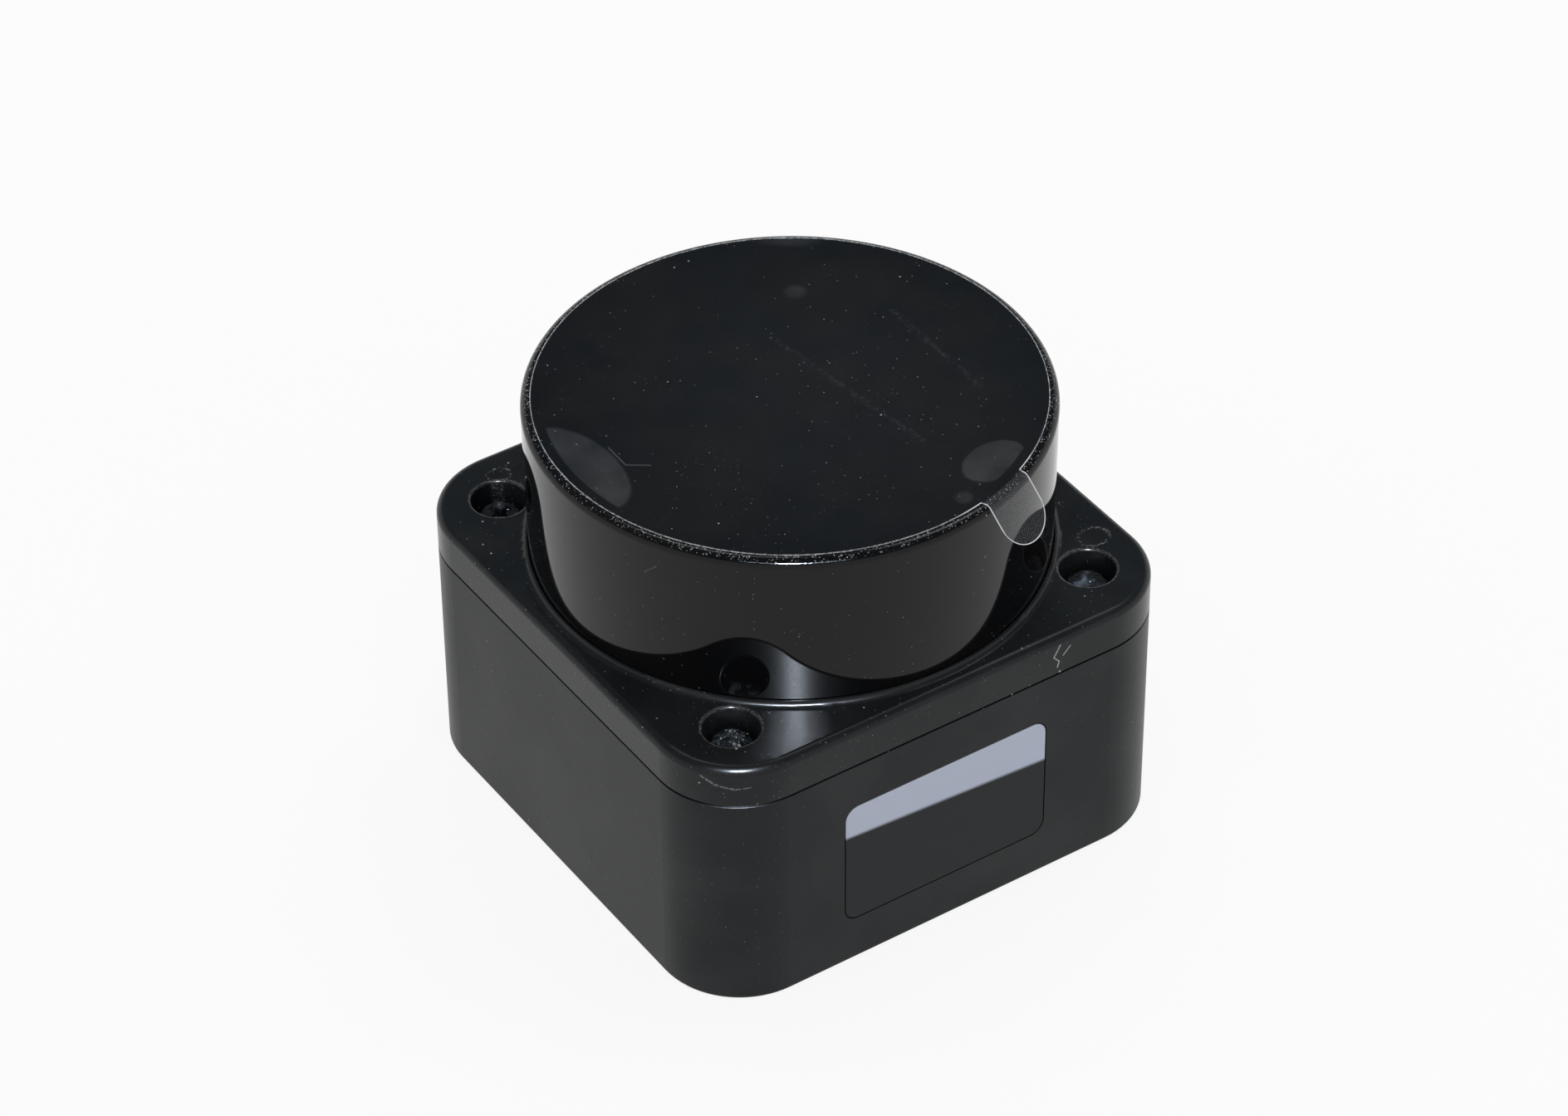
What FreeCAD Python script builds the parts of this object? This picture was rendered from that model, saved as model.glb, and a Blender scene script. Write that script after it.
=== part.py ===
import FreeCAD, Part
import os
from math import cos, radians, sin, sqrt

# Scanning lidar sensor in millimetres: square base, screwed cover, fixed round window, spinning head.
# The origin is the centre of the underside, +Z is up and the label is on the -Y face.

# Base housing
side = 60.0
corner_r = 9.5
base_h = 27.0
wall = 2.5
floor_t = 3.0
foot_edge_r = 0.5
seam = 0.15

# Top cover
cover_h = 5.0
cover_edge_r = 1.0
rim_land = 2.0
dish_depth = 2.0
collar_land = 0.1
cove_r = 0.7
shelf_t = 2.0
shelf_w = 2.2

# Cover screws in their counterbores
screw_inset = 7.5
screw_r = 1.25
screw_len = 12.0
screw_head_r = 2.45
screw_head_h = 1.6
screw_head_edge_r = 0.6
cross_length = 2.9
cross_width = 0.75
cross_depth = 1.0
cbore_clear = 0.6
cbore_depth = 3.6
cbore_edge_r = 0.3
hole_clear = 0.2
thread_clear = 0.05
thread_end_gap = 1.0
post_wall = 3.3

# Mounting holes in the underside
mount_hole_r = 1.5
mount_hole_depth = 8.0

# Gasket cord in the rim
gasket_w = 1.0
gasket_h = 0.8
gasket_clear = 0.1

# Window
dish_gap = 0.15
window_flare = 0.25
window_h = 21.0
window_wall = 1.8
window_top_t = 2.0
window_edge_r = 1.0
window_seat_w = 3.7
spigot_t = 1.1
spigot_l = 1.6
spigot_clear = 0.1
window_foot_t = 1.5

# Label, let into the front face
label_w = 25.4
label_h = 15.5
label_r = 1.6
label_t = 0.15
label_x = -0.8
label_z = 13.6
label_clear = 0.12

# Protective film with its pull tab
film_t = 0.1
film_margin = 0.05
tab_w = 6.7
tab_drop_l = 5.75
tab_bend_r = 0.6
tab_bend_deg = 52.8
tab_overhang = 0.3
tab_root_l = 2.0
tab_turn_deg = -71.0

# Main board on its bosses
board_t = 1.6
boss_h = 2.5
boss_r = 2.4
boss_y = 9.0
boss_edge = 4.0
board_gap = 1.0
arm_clear = 1.1
board_screw_r = 1.0
board_screw_len = 3.6
board_screw_head_r = 1.8
board_screw_head_h = 1.3
chip_w = 9.0
chip_t = 1.2
chip_edge = 5.0
power_coil_w = 4.0
power_coil_h = 3.0
capacitor_r = 2.0
capacitor_h = 4.5
link_w = 3.0
link_t = 1.4

# Socket behind the rear inlet
socket_w = 14.6
socket_h = 6.4
socket_wall = 0.8
socket_l = 9.5
socket_back_t = 1.4
socket_set_back = 1.0
inlet_clear = 0.2
pin_w = 0.6
pin_pitch = 2.0
pin_count = 6
pin_reach = 5.0
pin_tail = 1.0

# Motor plate on four pillars
rotor_drop = 0.4
plate_t = 2.0
plate_edge = 0.6
pillar_r = 2.4
pillar_clear = 0.2
plate_screw_r = 1.25
plate_screw_len = 8.0
plate_screw_head_r = 2.2
plate_screw_head_h = 1.5
tube_wall = 1.6
bush_wall = 1.5
bush_l = 4.0
tube_h = 10.0
core_seat_w = 1.4
core_seat_h = 2.6
motor_board_t = 1.2
header_w = 2.2
header_h = 2.5
header_pin_w = 0.5
header_pin_count = 5
header_inset = 2.4
header_pin_end = 0.6

# Motor
spindle_r = 2.0
spindle_bore_r = 1.0
spindle_foot = 1.4
bearing_clear = 0.03
press_clear = 0.02
clip_t = 0.6
clip_gap = 0.2
clip_groove = 0.4
clip_w = 1.8
clip_slot_w = 1.6
core_hub_w = 1.9
core_h = 4.0
tooth_count = 9
tooth_w = 2.0
tooth_tip_t = 1.2
tooth_tip_deg = 30.0
coil_w = 1.3
coil_end_h = 1.0
coil_gap = 0.4
air_gap = 0.6
magnet_t = 1.2
magnet_h = 6.0
yoke_t = 1.2
yoke_gap = 0.2

# Contactless power ring
ring_gap = 1.2
ferrite_w = 2.6
ferrite_t = 1.6
power_air_gap = 0.8
power_winding_t = 1.4
winding_margin = 0.6

# Encoder
disc_r = 20.8
disc_t = 1.6
encoder_inset = 0.8
encoder_t = 0.6
encoder_slot_h = 3.0
encoder_slots = 20
encoder_clear = 0.4
fork_leg_t = 0.8
fork_w = 5.0
fork_base_h = 2.2
fork_top_gap = 0.8

# Scan head
hub_r = 4.5
hub_drop = 0.3
thrust_gap = 0.3
standoff_r = 2.4
standoff_h = 1.6
rotor_board_t = 1.2
head_clear = 1.5
rotor_chip_w = 5.0
rotor_chip_t = 0.9
frame_top_clear = 2.0
frame_front = 15.0
sensor_room = 1.1
frame_left = 14.6
frame_right = 14.2
flange_t = 1.8
flange_gap = 3.0
ear_x = 17.4
ear_y = -2.0
ear_r = 2.9
rear_screw_x = 10.0
rear_screw_inset = 2.5
receiver_x = -5.8
receiver_bore_r = 6.4
receiver_lens_r = 7.2
receiver_lens_edge = 1.2
receiver_lens_bulge = 1.6
emitter_x = 8.6
emitter_bore_r = 3.6
emitter_lens_r = 4.1
emitter_lens_edge = 1.0
emitter_lens_bulge = 1.0
lens_clear = 0.1
baffle_x = 3.2
baffle_t = 1.2
baffle_l = 4.0
sensor_board_t = 1.4
sensor_screw_r = 1.0
sensor_screw_len = 5.0
sensor_screw_head_r = 1.7
sensor_screw_head_h = 1.2
sensor_screw_inset = 1.8
detector_w = 4.0
detector_t = 1.2
laser_r = 2.8
laser_can_r = 2.1
laser_flange_t = 1.2
laser_can_l = 2.6
frame_screw_r = 1.0
frame_screw_len = 4.4
frame_screw_head_r = 1.8
frame_screw_head_h = 1.3
weight_w = 4.5
weight_h = 6.0
weight_deg = 50.0

# Heights and radii that follow from the sizes above
half = side / 2
cover_top = base_h + cover_h
window_z = cover_top - dish_depth
window_top = window_z + window_h
dish_r = half - rim_land
collar_r = dish_r + collar_land + cove_r
window_foot_r = dish_r - dish_gap
window_top_r = window_foot_r + window_flare
spigot_r = window_foot_r - window_seat_w
opening_r = spigot_r + spigot_clear
shelf_r = spigot_r + shelf_w
throat_r = spigot_r - spigot_t
screw_x = half - screw_inset
screw_seat_z = cover_top - cbore_depth
cbore_r = screw_head_r + cbore_clear
thread_r = screw_r + thread_clear
post_r = thread_r + post_wall
cavity = half - wall
board_z = floor_t + boss_h
board_top = board_z + board_t
board_half = cavity - board_gap
boss_x = cavity - boss_edge
chip_y = chip_edge + chip_w / 2 - board_half
disc_top = base_h - rotor_drop
disc_z = disc_top - disc_t
bush_r = spindle_r + bearing_clear + bush_wall
tube_r = bush_r + tube_wall
tube_top = disc_z - hub_drop - thrust_gap
plate_top = tube_top - tube_h + plate_t
plate_z = plate_top - plate_t
motor_board_top = plate_top + motor_board_t
yoke_z = motor_board_top + yoke_gap
encoder_z = motor_board_top + fork_base_h + encoder_clear
encoder_out_r = disc_r - encoder_inset
encoder_in_r = encoder_out_r - encoder_t
fork_in_r = encoder_in_r - encoder_clear - fork_leg_t
fork_out_r = encoder_out_r + encoder_clear + fork_leg_t
plate_r = fork_out_r + plate_edge
core_seat_r = tube_r + core_seat_w
core_z = plate_top + core_seat_h
ferrite_out_r = fork_in_r - encoder_clear
ferrite_in_r = ferrite_out_r - ferrite_w
pillar_x = (ferrite_out_r + pillar_clear + plate_screw_head_r) / sqrt(2)
board_arm = pillar_x - pillar_r - arm_clear
yoke_r = ferrite_in_r - ring_gap
yoke_in_r = yoke_r - yoke_t
magnet_in_r = yoke_in_r - magnet_t
core_r = magnet_in_r - air_gap
tooth_l = core_r - tooth_tip_t - core_hub_w - tube_r
rotor_ferrite_z = disc_z - ferrite_t
rotor_coil_z = rotor_ferrite_z - power_winding_t
fixed_coil_top = rotor_coil_z - power_air_gap
rotor_board_z = disc_top + standoff_h
rotor_board_top = rotor_board_z + rotor_board_t
head_r = throat_r - head_clear
flange_back = head_r - weight_w - flange_gap
rear_screw_y = flange_back - rear_screw_inset
sensor_back = rear_screw_y - frame_screw_head_r - sensor_room
frame_back = sensor_back - sensor_screw_head_h - sensor_board_t
frame_z = rotor_board_top
frame_top = window_top - window_top_t - frame_top_clear
optic_z = (frame_z + flange_t + frame_top) / 2

ORIGIN = FreeCAD.Vector(0, 0, 0)
UP = FreeCAD.Vector(0, 0, 1)
CORNERS = [(1, 1), (-1, 1), (-1, -1), (1, -1)]


def save(node, *solids):
    """Write one node as a STEP file, several solids as a group."""
    shape = solids[0] if len(solids) == 1 else Part.makeCompound(list(solids))
    shape.exportStep("parts/" + node + ".step")


def disc(radius, z0, z1, x=0.0, y=0.0):
    """Upright cylinder from z0 to z1."""
    return Part.makeCylinder(radius, z1 - z0, FreeCAD.Vector(x, y, z0))


def ring(inner, outer, z0, z1):
    """Upright tube about the main axis."""
    return disc(outer, z0, z1).cut(disc(inner, z0, z1))


def block(x0, x1, y0, y1, z0, z1):
    """Box between six planes."""
    return Part.makeBox(x1 - x0, y1 - y0, z1 - z0, FreeCAD.Vector(x0, y0, z0))


def upright_edges(shape):
    """Straight edges that run along Z."""
    return [e for e in shape.Edges if e.BoundBox.XLength < 1e-6 and e.BoundBox.YLength < 1e-6]


def level_edges(shape, z):
    """Edges that lie wholly at one height."""
    flat = [e for e in shape.Edges if e.BoundBox.ZLength < 1e-5]
    return [e for e in flat if abs(e.BoundBox.ZMin - z) < 1e-5]


def rounded_block(half_side, radius, z0, z1):
    """Square prism about the main axis with rounded corners."""
    prism = block(-half_side, half_side, -half_side, half_side, z0, z1)
    return prism.makeFillet(radius, upright_edges(prism))


def turned(points):
    """Solid of revolution from a closed outline of (radius, height) points."""
    outline = [FreeCAD.Vector(r, 0, z) for r, z in points]
    face = Part.Face(Part.makePolygon(outline + outline[:1]))
    return face.revolve(ORIGIN, UP, 360)


def flared_bore(radius, z0, z1, edge_r, over):
    """Cutter for a round pocket whose mouth at z1 is rounded over by edge_r, and which goes on above it."""
    bend = edge_r * (1 - sin(radians(45)))
    a = FreeCAD.Vector(0, 0, z0)
    b = FreeCAD.Vector(radius, 0, z0)
    c = FreeCAD.Vector(radius, 0, z1 - edge_r)
    mid = FreeCAD.Vector(radius + bend, 0, z1 - bend)
    d = FreeCAD.Vector(radius + edge_r, 0, z1)
    e = FreeCAD.Vector(radius + edge_r, 0, z1 + over)
    f = FreeCAD.Vector(0, 0, z1 + over)
    lines = [Part.makeLine(a, b), Part.makeLine(b, c), Part.Arc(c, mid, d).toShape()]
    lines += [Part.makeLine(d, e), Part.makeLine(e, f), Part.makeLine(f, a)]
    return Part.Face(Part.Wire(lines)).revolve(ORIGIN, UP, 360)


def coved_boss(foot, cove, z):
    """Low round boss whose flank sweeps out in a hollow curve to the foot radius at z."""
    bend = cove * (1 - sin(radians(45)))
    a = FreeCAD.Vector(0, 0, z)
    b = FreeCAD.Vector(foot, 0, z)
    mid = FreeCAD.Vector(foot - cove + bend, 0, z + bend)
    c = FreeCAD.Vector(foot - cove, 0, z + cove)
    d = FreeCAD.Vector(0, 0, z + cove)
    lines = [Part.makeLine(a, b), Part.Arc(b, mid, c).toShape(), Part.makeLine(c, d), Part.makeLine(d, a)]
    return Part.Face(Part.Wire(lines)).revolve(ORIGIN, UP, 360)


def moved(shape, x, y, z=0.0):
    """Copy of a shape, shifted."""
    copy = shape.copy()
    copy.translate(FreeCAD.Vector(x, y, z))
    return copy


def spun(shape, degrees):
    """Copy of a shape, turned about the main axis."""
    copy = shape.copy()
    copy.rotate(ORIGIN, UP, degrees)
    return copy


def at_corners(shape, distance):
    """Four copies on a square of the given half pitch."""
    return [moved(shape, sx * distance, sy * distance) for sx, sy in CORNERS]


def pan_screw(radius, length, head_radius, head_height, seat_z):
    """Plain screw with its head resting on seat_z and its shank below."""
    return disc(radius, seat_z - length, seat_z).fuse(disc(head_radius, seat_z, seat_z + head_height))


def along_y(shape, x, y, z):
    """Copy of an upright shape laid so that its +Z points to +Y, then placed."""
    copy = shape.copy()
    copy.rotate(ORIGIN, FreeCAD.Vector(1, 0, 0), -90)
    copy.translate(FreeCAD.Vector(x, y, z))
    return copy


def label_plate(grow, y0, y1):
    """Label outline with rounded corners between two planes of the front face."""
    w = label_w / 2 + grow
    h = label_h / 2 + grow
    plate = block(-w, w, y0, y1, -h, h)
    short = [e for e in plate.Edges if e.BoundBox.XLength < 1e-6 and e.BoundBox.ZLength < 1e-6]
    return moved(plate.makeFillet(label_r + grow, short), label_x, 0, label_z)


def gasket_cord(margin, z0, z1):
    """Closed cord that follows the middle of the base's wall."""
    outer = half - wall / 2 + gasket_w / 2 + margin
    inner = half - wall / 2 - gasket_w / 2 - margin
    tube = rounded_block(outer, corner_r - (half - outer), z0, z1)
    return tube.cut(rounded_block(inner, corner_r - (half - inner), z0, z1))


def base_housing():
    """Moulded box with corner posts, motor pillars, board bosses, inlet and label recess."""
    body = rounded_block(half, corner_r, 0, base_h)
    body = body.makeFillet(foot_edge_r, level_edges(body, 0))
    body = body.makeChamfer(seam, level_edges(body, base_h))
    body = body.cut(rounded_block(cavity, corner_r - wall, floor_t, base_h))
    posts = at_corners(disc(post_r, floor_t, base_h), screw_x)
    envelope = rounded_block(half - wall / 2, corner_r - wall / 2, floor_t, base_h)
    body = body.fuse([p.common(envelope) for p in posts])
    body = body.fuse(at_corners(disc(pillar_r, floor_t, plate_z), pillar_x))
    bosses = [disc(boss_r, floor_t, board_z, sx * boss_x, sy * boss_y) for sx, sy in CORNERS]
    body = body.fuse(bosses)
    cutters = at_corners(disc(thread_r, screw_seat_z - screw_len - thread_end_gap, base_h), screw_x)
    cutters += at_corners(disc(mount_hole_r, 0, mount_hole_depth), screw_x)
    pillar_hole_z = plate_top - plate_screw_len - thread_end_gap
    cutters += at_corners(disc(plate_screw_r + thread_clear, pillar_hole_z, plate_z), pillar_x)
    boss_hole_z = board_top - board_screw_len - thread_end_gap / 2
    boss_hole_r = board_screw_r + thread_clear
    cutters += [disc(boss_hole_r, boss_hole_z, board_z, sx * boss_x, sy * boss_y) for sx, sy in CORNERS]
    inlet_x = socket_w / 2 + inlet_clear
    inlet_z = board_top + socket_h + inlet_clear
    cutters.append(block(-inlet_x, inlet_x, cavity - wall, half, board_top - inlet_clear, inlet_z))
    cutters.append(gasket_cord(gasket_clear, base_h - gasket_h, base_h))
    cutters.append(label_plate(label_clear, -half, -half + label_t))
    return body.cut(cutters).removeSplitter()


def top_cover():
    """Cover plate with a low coved collar round its dish, counterbores and inner pocket."""
    body = rounded_block(half, corner_r, base_h, cover_top)
    body = body.makeFillet(cover_edge_r, level_edges(body, cover_top))
    body = body.makeChamfer(seam, level_edges(body, base_h))
    body = body.fuse(coved_boss(collar_r, cove_r, cover_top))
    cutters = [disc(dish_r, window_z, cover_top + 2 * cove_r)]
    cutters.append(disc(opening_r, base_h, window_z))
    cutters.append(disc(shelf_r, base_h, window_z - shelf_t))
    cutters += at_corners(flared_bore(cbore_r, screw_seat_z, cover_top, cbore_edge_r, cove_r), screw_x)
    cutters += at_corners(disc(screw_r + hole_clear, base_h, screw_seat_z), screw_x)
    return body.cut(cutters)


def optical_window():
    """Turned cup: flat top, nearly upright wall, foot ring and centring spigot."""
    slope = window_flare / window_h
    foot_top = window_z + window_foot_t
    roof = window_top - window_top_t
    points = [(throat_r, window_z - spigot_l), (spigot_r, window_z - spigot_l), (spigot_r, window_z)]
    points += [(window_foot_r, window_z), (window_top_r, window_top), (0, window_top), (0, roof)]
    points += [(window_foot_r + slope * (roof - window_z) - window_wall, roof)]
    points += [(window_foot_r + slope * window_foot_t - window_wall, foot_top), (throat_r, foot_top)]
    cup = turned(points)
    return cup.makeFillet(window_edge_r, level_edges(cup, window_top))


def cover_screw():
    """Pan-head screw with a cross recess, standing on the main axis."""
    screw = disc(screw_head_r, screw_seat_z, screw_seat_z + screw_head_h)
    top = screw_seat_z + screw_head_h
    screw = screw.makeFillet(screw_head_edge_r, level_edges(screw, top))
    screw = screw.fuse(disc(screw_r, screw_seat_z - screw_len, screw_seat_z))
    long_way = cross_length / 2
    short_way = cross_width / 2
    bar = block(-long_way, long_way, -short_way, short_way, top - cross_depth, top)
    return screw.cut([bar, spun(bar, 90)])


def protective_film():
    """Thin clear disc on the window's top with a tongue bent down over the rim."""
    film_r = window_top_r - window_edge_r - film_margin
    z = window_top
    bend_u = film_r + tab_overhang
    bend_z = z - tab_bend_r

    def bend_point(radius, degrees):
        turn = radians(degrees)
        return FreeCAD.Vector(bend_u + radius * sin(turn), 0, bend_z + radius * cos(turn))

    inner_r = tab_bend_r
    outer_r = tab_bend_r + film_t
    turn = radians(tab_bend_deg)
    slide = FreeCAD.Vector(tab_drop_l * cos(turn), 0, -tab_drop_l * sin(turn))
    low_start = FreeCAD.Vector(film_r - tab_root_l, 0, z)
    high_start = FreeCAD.Vector(film_r - tab_root_l, 0, z + film_t)
    low = [bend_point(inner_r, tab_bend_deg * k / 2) for k in range(3)]
    high = [bend_point(outer_r, tab_bend_deg * k / 2) for k in range(3)]
    lines = [Part.makeLine(low_start, low[0]), Part.Arc(*low).toShape()]
    lines += [Part.makeLine(low[2], low[2] + slide), Part.makeLine(low[2] + slide, high[2] + slide)]
    lines += [Part.makeLine(high[2] + slide, high[2]), Part.Arc(*reversed(high)).toShape()]
    lines += [Part.makeLine(high[0], high_start), Part.makeLine(high_start, low_start)]
    tab = Part.Face(Part.Wire(lines)).extrude(FreeCAD.Vector(0, tab_w, 0))
    tab.translate(FreeCAD.Vector(0, -tab_w / 2, 0))
    tip_u = low[2].x + slide.x
    corners = [e for e in tab.Edges if e.Length < 2 * film_t and e.BoundBox.XMin > tip_u - film_t]
    tab = tab.makeFillet(tab_w / 2 - film_t, corners)
    return disc(film_r, z, z + film_t).fuse(spun(tab, tab_turn_deg)).removeSplitter()


def main_board():
    """Cross-shaped board whose arms pass between the pillars."""
    plate = block(-board_half, board_half, -board_arm, board_arm, board_z, board_top)
    cross_arm = block(-board_arm, board_arm, -board_half, board_half, board_z, board_top)
    plate = plate.fuse(cross_arm).removeSplitter()
    hole = board_screw_r + hole_clear
    holes = [disc(hole, board_z, board_top, sx * boss_x, sy * boss_y) for sx, sy in CORNERS]
    return plate.cut(holes)


def io_pins():
    """Angled pins: a tail on the board and a blade through the socket's back."""
    back_y = half - socket_set_back - socket_l
    pin_z = board_top + socket_h / 2 - pin_w / 2
    pins = []
    for k in range(pin_count):
        x = (k - (pin_count - 1) / 2) * pin_pitch - pin_w / 2
        tail_y = back_y - pin_tail
        tail = block(x, x + pin_w, tail_y, tail_y + pin_w, board_top, pin_z + pin_w)
        tip_y = back_y + socket_back_t + pin_reach
        blade = block(x, x + pin_w, tail_y, tip_y, pin_z, pin_z + pin_w)
        pins.append(tail.fuse(blade).removeSplitter())
    return pins


def io_socket(pins):
    """Shrouded socket on the board, open to the rear."""
    y1 = half - socket_set_back
    y0 = y1 - socket_l
    x = socket_w / 2
    top = board_top + socket_h
    body = block(-x, x, y0, y1, board_top, top)
    w = socket_wall
    body = body.cut(block(-x + w, x - w, y0 + socket_back_t, y1, board_top + w, top - w))
    return body.cut(pins)


def motor_plate():
    """Plate with four ears, a bearing tube, a seat for the core and gaps for socket and header."""
    body = disc(plate_r, plate_z, plate_top)
    body = body.fuse(at_corners(disc(pillar_r, plate_z, plate_top), pillar_x))
    body = body.fuse([disc(core_seat_r, plate_top, core_z), disc(tube_r, core_z, tube_top)])
    middle = bush_r - bush_wall / 2
    cutters = [disc(bush_r, plate_z, plate_z + bush_l), disc(bush_r, tube_top - bush_l, tube_top)]
    cutters.append(disc(middle, plate_z + bush_l, tube_top - bush_l))
    cutters += at_corners(disc(plate_screw_r + hole_clear, plate_z, plate_top), pillar_x)
    x = socket_w / 2 + inlet_clear
    back_y = half - socket_set_back - socket_l - pin_tail - inlet_clear
    cutters.append(block(-x, x, back_y, half, plate_z, plate_top))
    cutters.append(header_slot(plate_z, plate_top))
    return body.cut(cutters).removeSplitter()


def header_x():
    """Place of the header's row of pins."""
    return -(plate_r - header_inset)


def header_slot(z0, z1):
    """Slot round the header's pins."""
    room = header_w / 2 + hole_clear
    reach = header_pin_count * pin_pitch / 2 + hole_clear
    return block(header_x() - room, header_x() + room, -reach, reach, z0, z1)


def header_pins():
    """Straight pins from the main board through the motor board."""
    pins = []
    w = header_pin_w / 2
    for k in range(header_pin_count):
        y = (k - (header_pin_count - 1) / 2) * pin_pitch
        top = motor_board_top + header_pin_end
        pins.append(block(header_x() - w, header_x() + w, y - w, y + w, board_top, top))
    return pins


def header_block(pins):
    """Insulating strip at the foot of the header's pins."""
    reach = header_pin_count * pin_pitch / 2
    x0 = header_x() - header_w / 2
    strip = block(x0, x0 + header_w, -reach, reach, board_top, board_top + header_h)
    return strip.cut(pins)


def motor_board(pins):
    """Ring-shaped board on the motor plate, cut away at the plate's screws and over the socket."""
    body = ring(core_seat_r + hole_clear, plate_r, plate_top, motor_board_top)
    room = plate_screw_head_r + inlet_clear
    cutters = at_corners(disc(room, plate_top, motor_board_top), pillar_x)
    return body.cut(cutters + pins)


def stator_core():
    """Nine-tooth core pressed on the bearing tube."""
    top = core_z + core_h
    hub_r_out = tube_r + core_hub_w
    tip_in = hub_r_out + tooth_l
    root_in = tube_r + core_hub_w / 2
    tooth = block(root_in, tip_in + tooth_tip_t / 2, -tooth_w / 2, tooth_w / 2, core_z, top)
    tip = ring(tip_in, core_r, core_z, top).common(wedge(tooth_tip_deg, core_z, top))
    pole = tooth.fuse(tip)
    poles = [spun(pole, 360 * k / tooth_count) for k in range(tooth_count)]
    core = disc(hub_r_out, core_z, top).fuse(poles)
    return core.cut(disc(tube_r + press_clear, core_z, top)).removeSplitter()


def wedge(degrees, z0, z1):
    """Tall slice of a cylinder, centred on +X and larger than any ring here."""
    slice_of_disc = Part.makeCylinder(side, z1 - z0, FreeCAD.Vector(0, 0, z0), UP, degrees)
    return spun(slice_of_disc, -degrees / 2)


def stator_coils():
    """One winding round each tooth."""
    r0 = tube_r + core_hub_w + coil_gap
    r1 = tube_r + core_hub_w + tooth_l - coil_gap
    low = core_z - coil_end_h
    high = core_z + core_h + coil_end_h
    reach = tooth_w / 2 + coil_w
    coil = block(r0, r1, -reach, reach, low, high)
    coil = coil.cut(block(r0, r1, -tooth_w / 2, tooth_w / 2, core_z, core_z + core_h))
    return [spun(coil, 360 * k / tooth_count) for k in range(tooth_count)]


def encoder_fork():
    """Light barrier with one leg on each side of the encoder ring."""
    top = disc_z - fork_top_gap
    body = ring(fork_in_r, fork_out_r, motor_board_top, top)
    body = body.common(block(0, half, -fork_w / 2, fork_w / 2, motor_board_top, top))
    groove_in_r = encoder_in_r - encoder_clear
    groove_out_r = encoder_out_r + encoder_clear
    return body.cut(ring(groove_in_r, groove_out_r, motor_board_top + fork_base_h, top))


def encoder_ring():
    """Skirt under the rotor disc with slots open at its lower edge."""
    skirt = ring(encoder_in_r, encoder_out_r, encoder_z, disc_z)
    slot = wedge(180 / encoder_slots, encoder_z, encoder_z + encoder_slot_h)
    return skirt.cut([spun(slot, 360 * (k + 0.5) / encoder_slots) for k in range(encoder_slots)])


def spindle():
    """Hollow shaft with a clip groove at its foot."""
    foot = plate_z - spindle_foot
    shaft = ring(spindle_bore_r, spindle_r, foot, disc_top)
    groove_top = plate_z - clip_gap
    return shaft.cut(ring(spindle_r - clip_groove, spindle_r, groove_top - clip_t, groove_top))


def retaining_clip():
    """Open clip in the spindle's groove under the lower bush."""
    top = plate_z - clip_gap
    groove_r = spindle_r - clip_groove
    clip = ring(groove_r, groove_r + clip_w, top - clip_t, top)
    return clip.cut(block(0, half, -clip_slot_w / 2, clip_slot_w / 2, top - clip_t, top))


def frame_feet():
    """Places of the four screws that hold the optical frame."""
    return [(ear_x, ear_y), (-ear_x, ear_y), (rear_screw_x, rear_screw_y), (-rear_screw_x, rear_screw_y)]


def rotor_disc():
    """Disc with a hub on the spindle and four standoffs for the rotor board."""
    body = disc(disc_r, disc_z, disc_top).fuse(disc(hub_r, disc_z - hub_drop, disc_z))
    body = body.fuse([disc(standoff_r, disc_top, rotor_board_z, x, y) for x, y in frame_feet()])
    cutters = [disc(spindle_r + press_clear, disc_z - hub_drop, disc_top)]
    hole = frame_screw_r + thread_clear
    hole_z = frame_z + flange_t - frame_screw_len
    cutters += [disc(hole, hole_z, rotor_board_z, x, y) for x, y in frame_feet()]
    return body.cut(cutters).removeSplitter()


def rotor_board():
    """Round board on the standoffs."""
    hole = frame_screw_r + hole_clear
    holes = [disc(hole, rotor_board_z, rotor_board_top, x, y) for x, y in frame_feet()]
    return disc(head_r, rotor_board_z, rotor_board_top).cut(holes)


def tunnels():
    """Both light paths: place, bore, lens radius and lens seat depth."""
    receiver = (receiver_x, receiver_bore_r, receiver_lens_r, receiver_lens_edge)
    emitter = (emitter_x, emitter_bore_r, emitter_lens_r, emitter_lens_edge)
    return [receiver, emitter]


def sensor_screw_places():
    """Corners of the sensor board where its screws sit, as (x, z)."""
    xs = [-frame_left + sensor_screw_inset, frame_right - sensor_screw_inset]
    zs = [frame_z + flange_t + sensor_screw_inset, frame_top - sensor_screw_inset]
    return [(x, z) for x in xs for z in zs]


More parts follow.
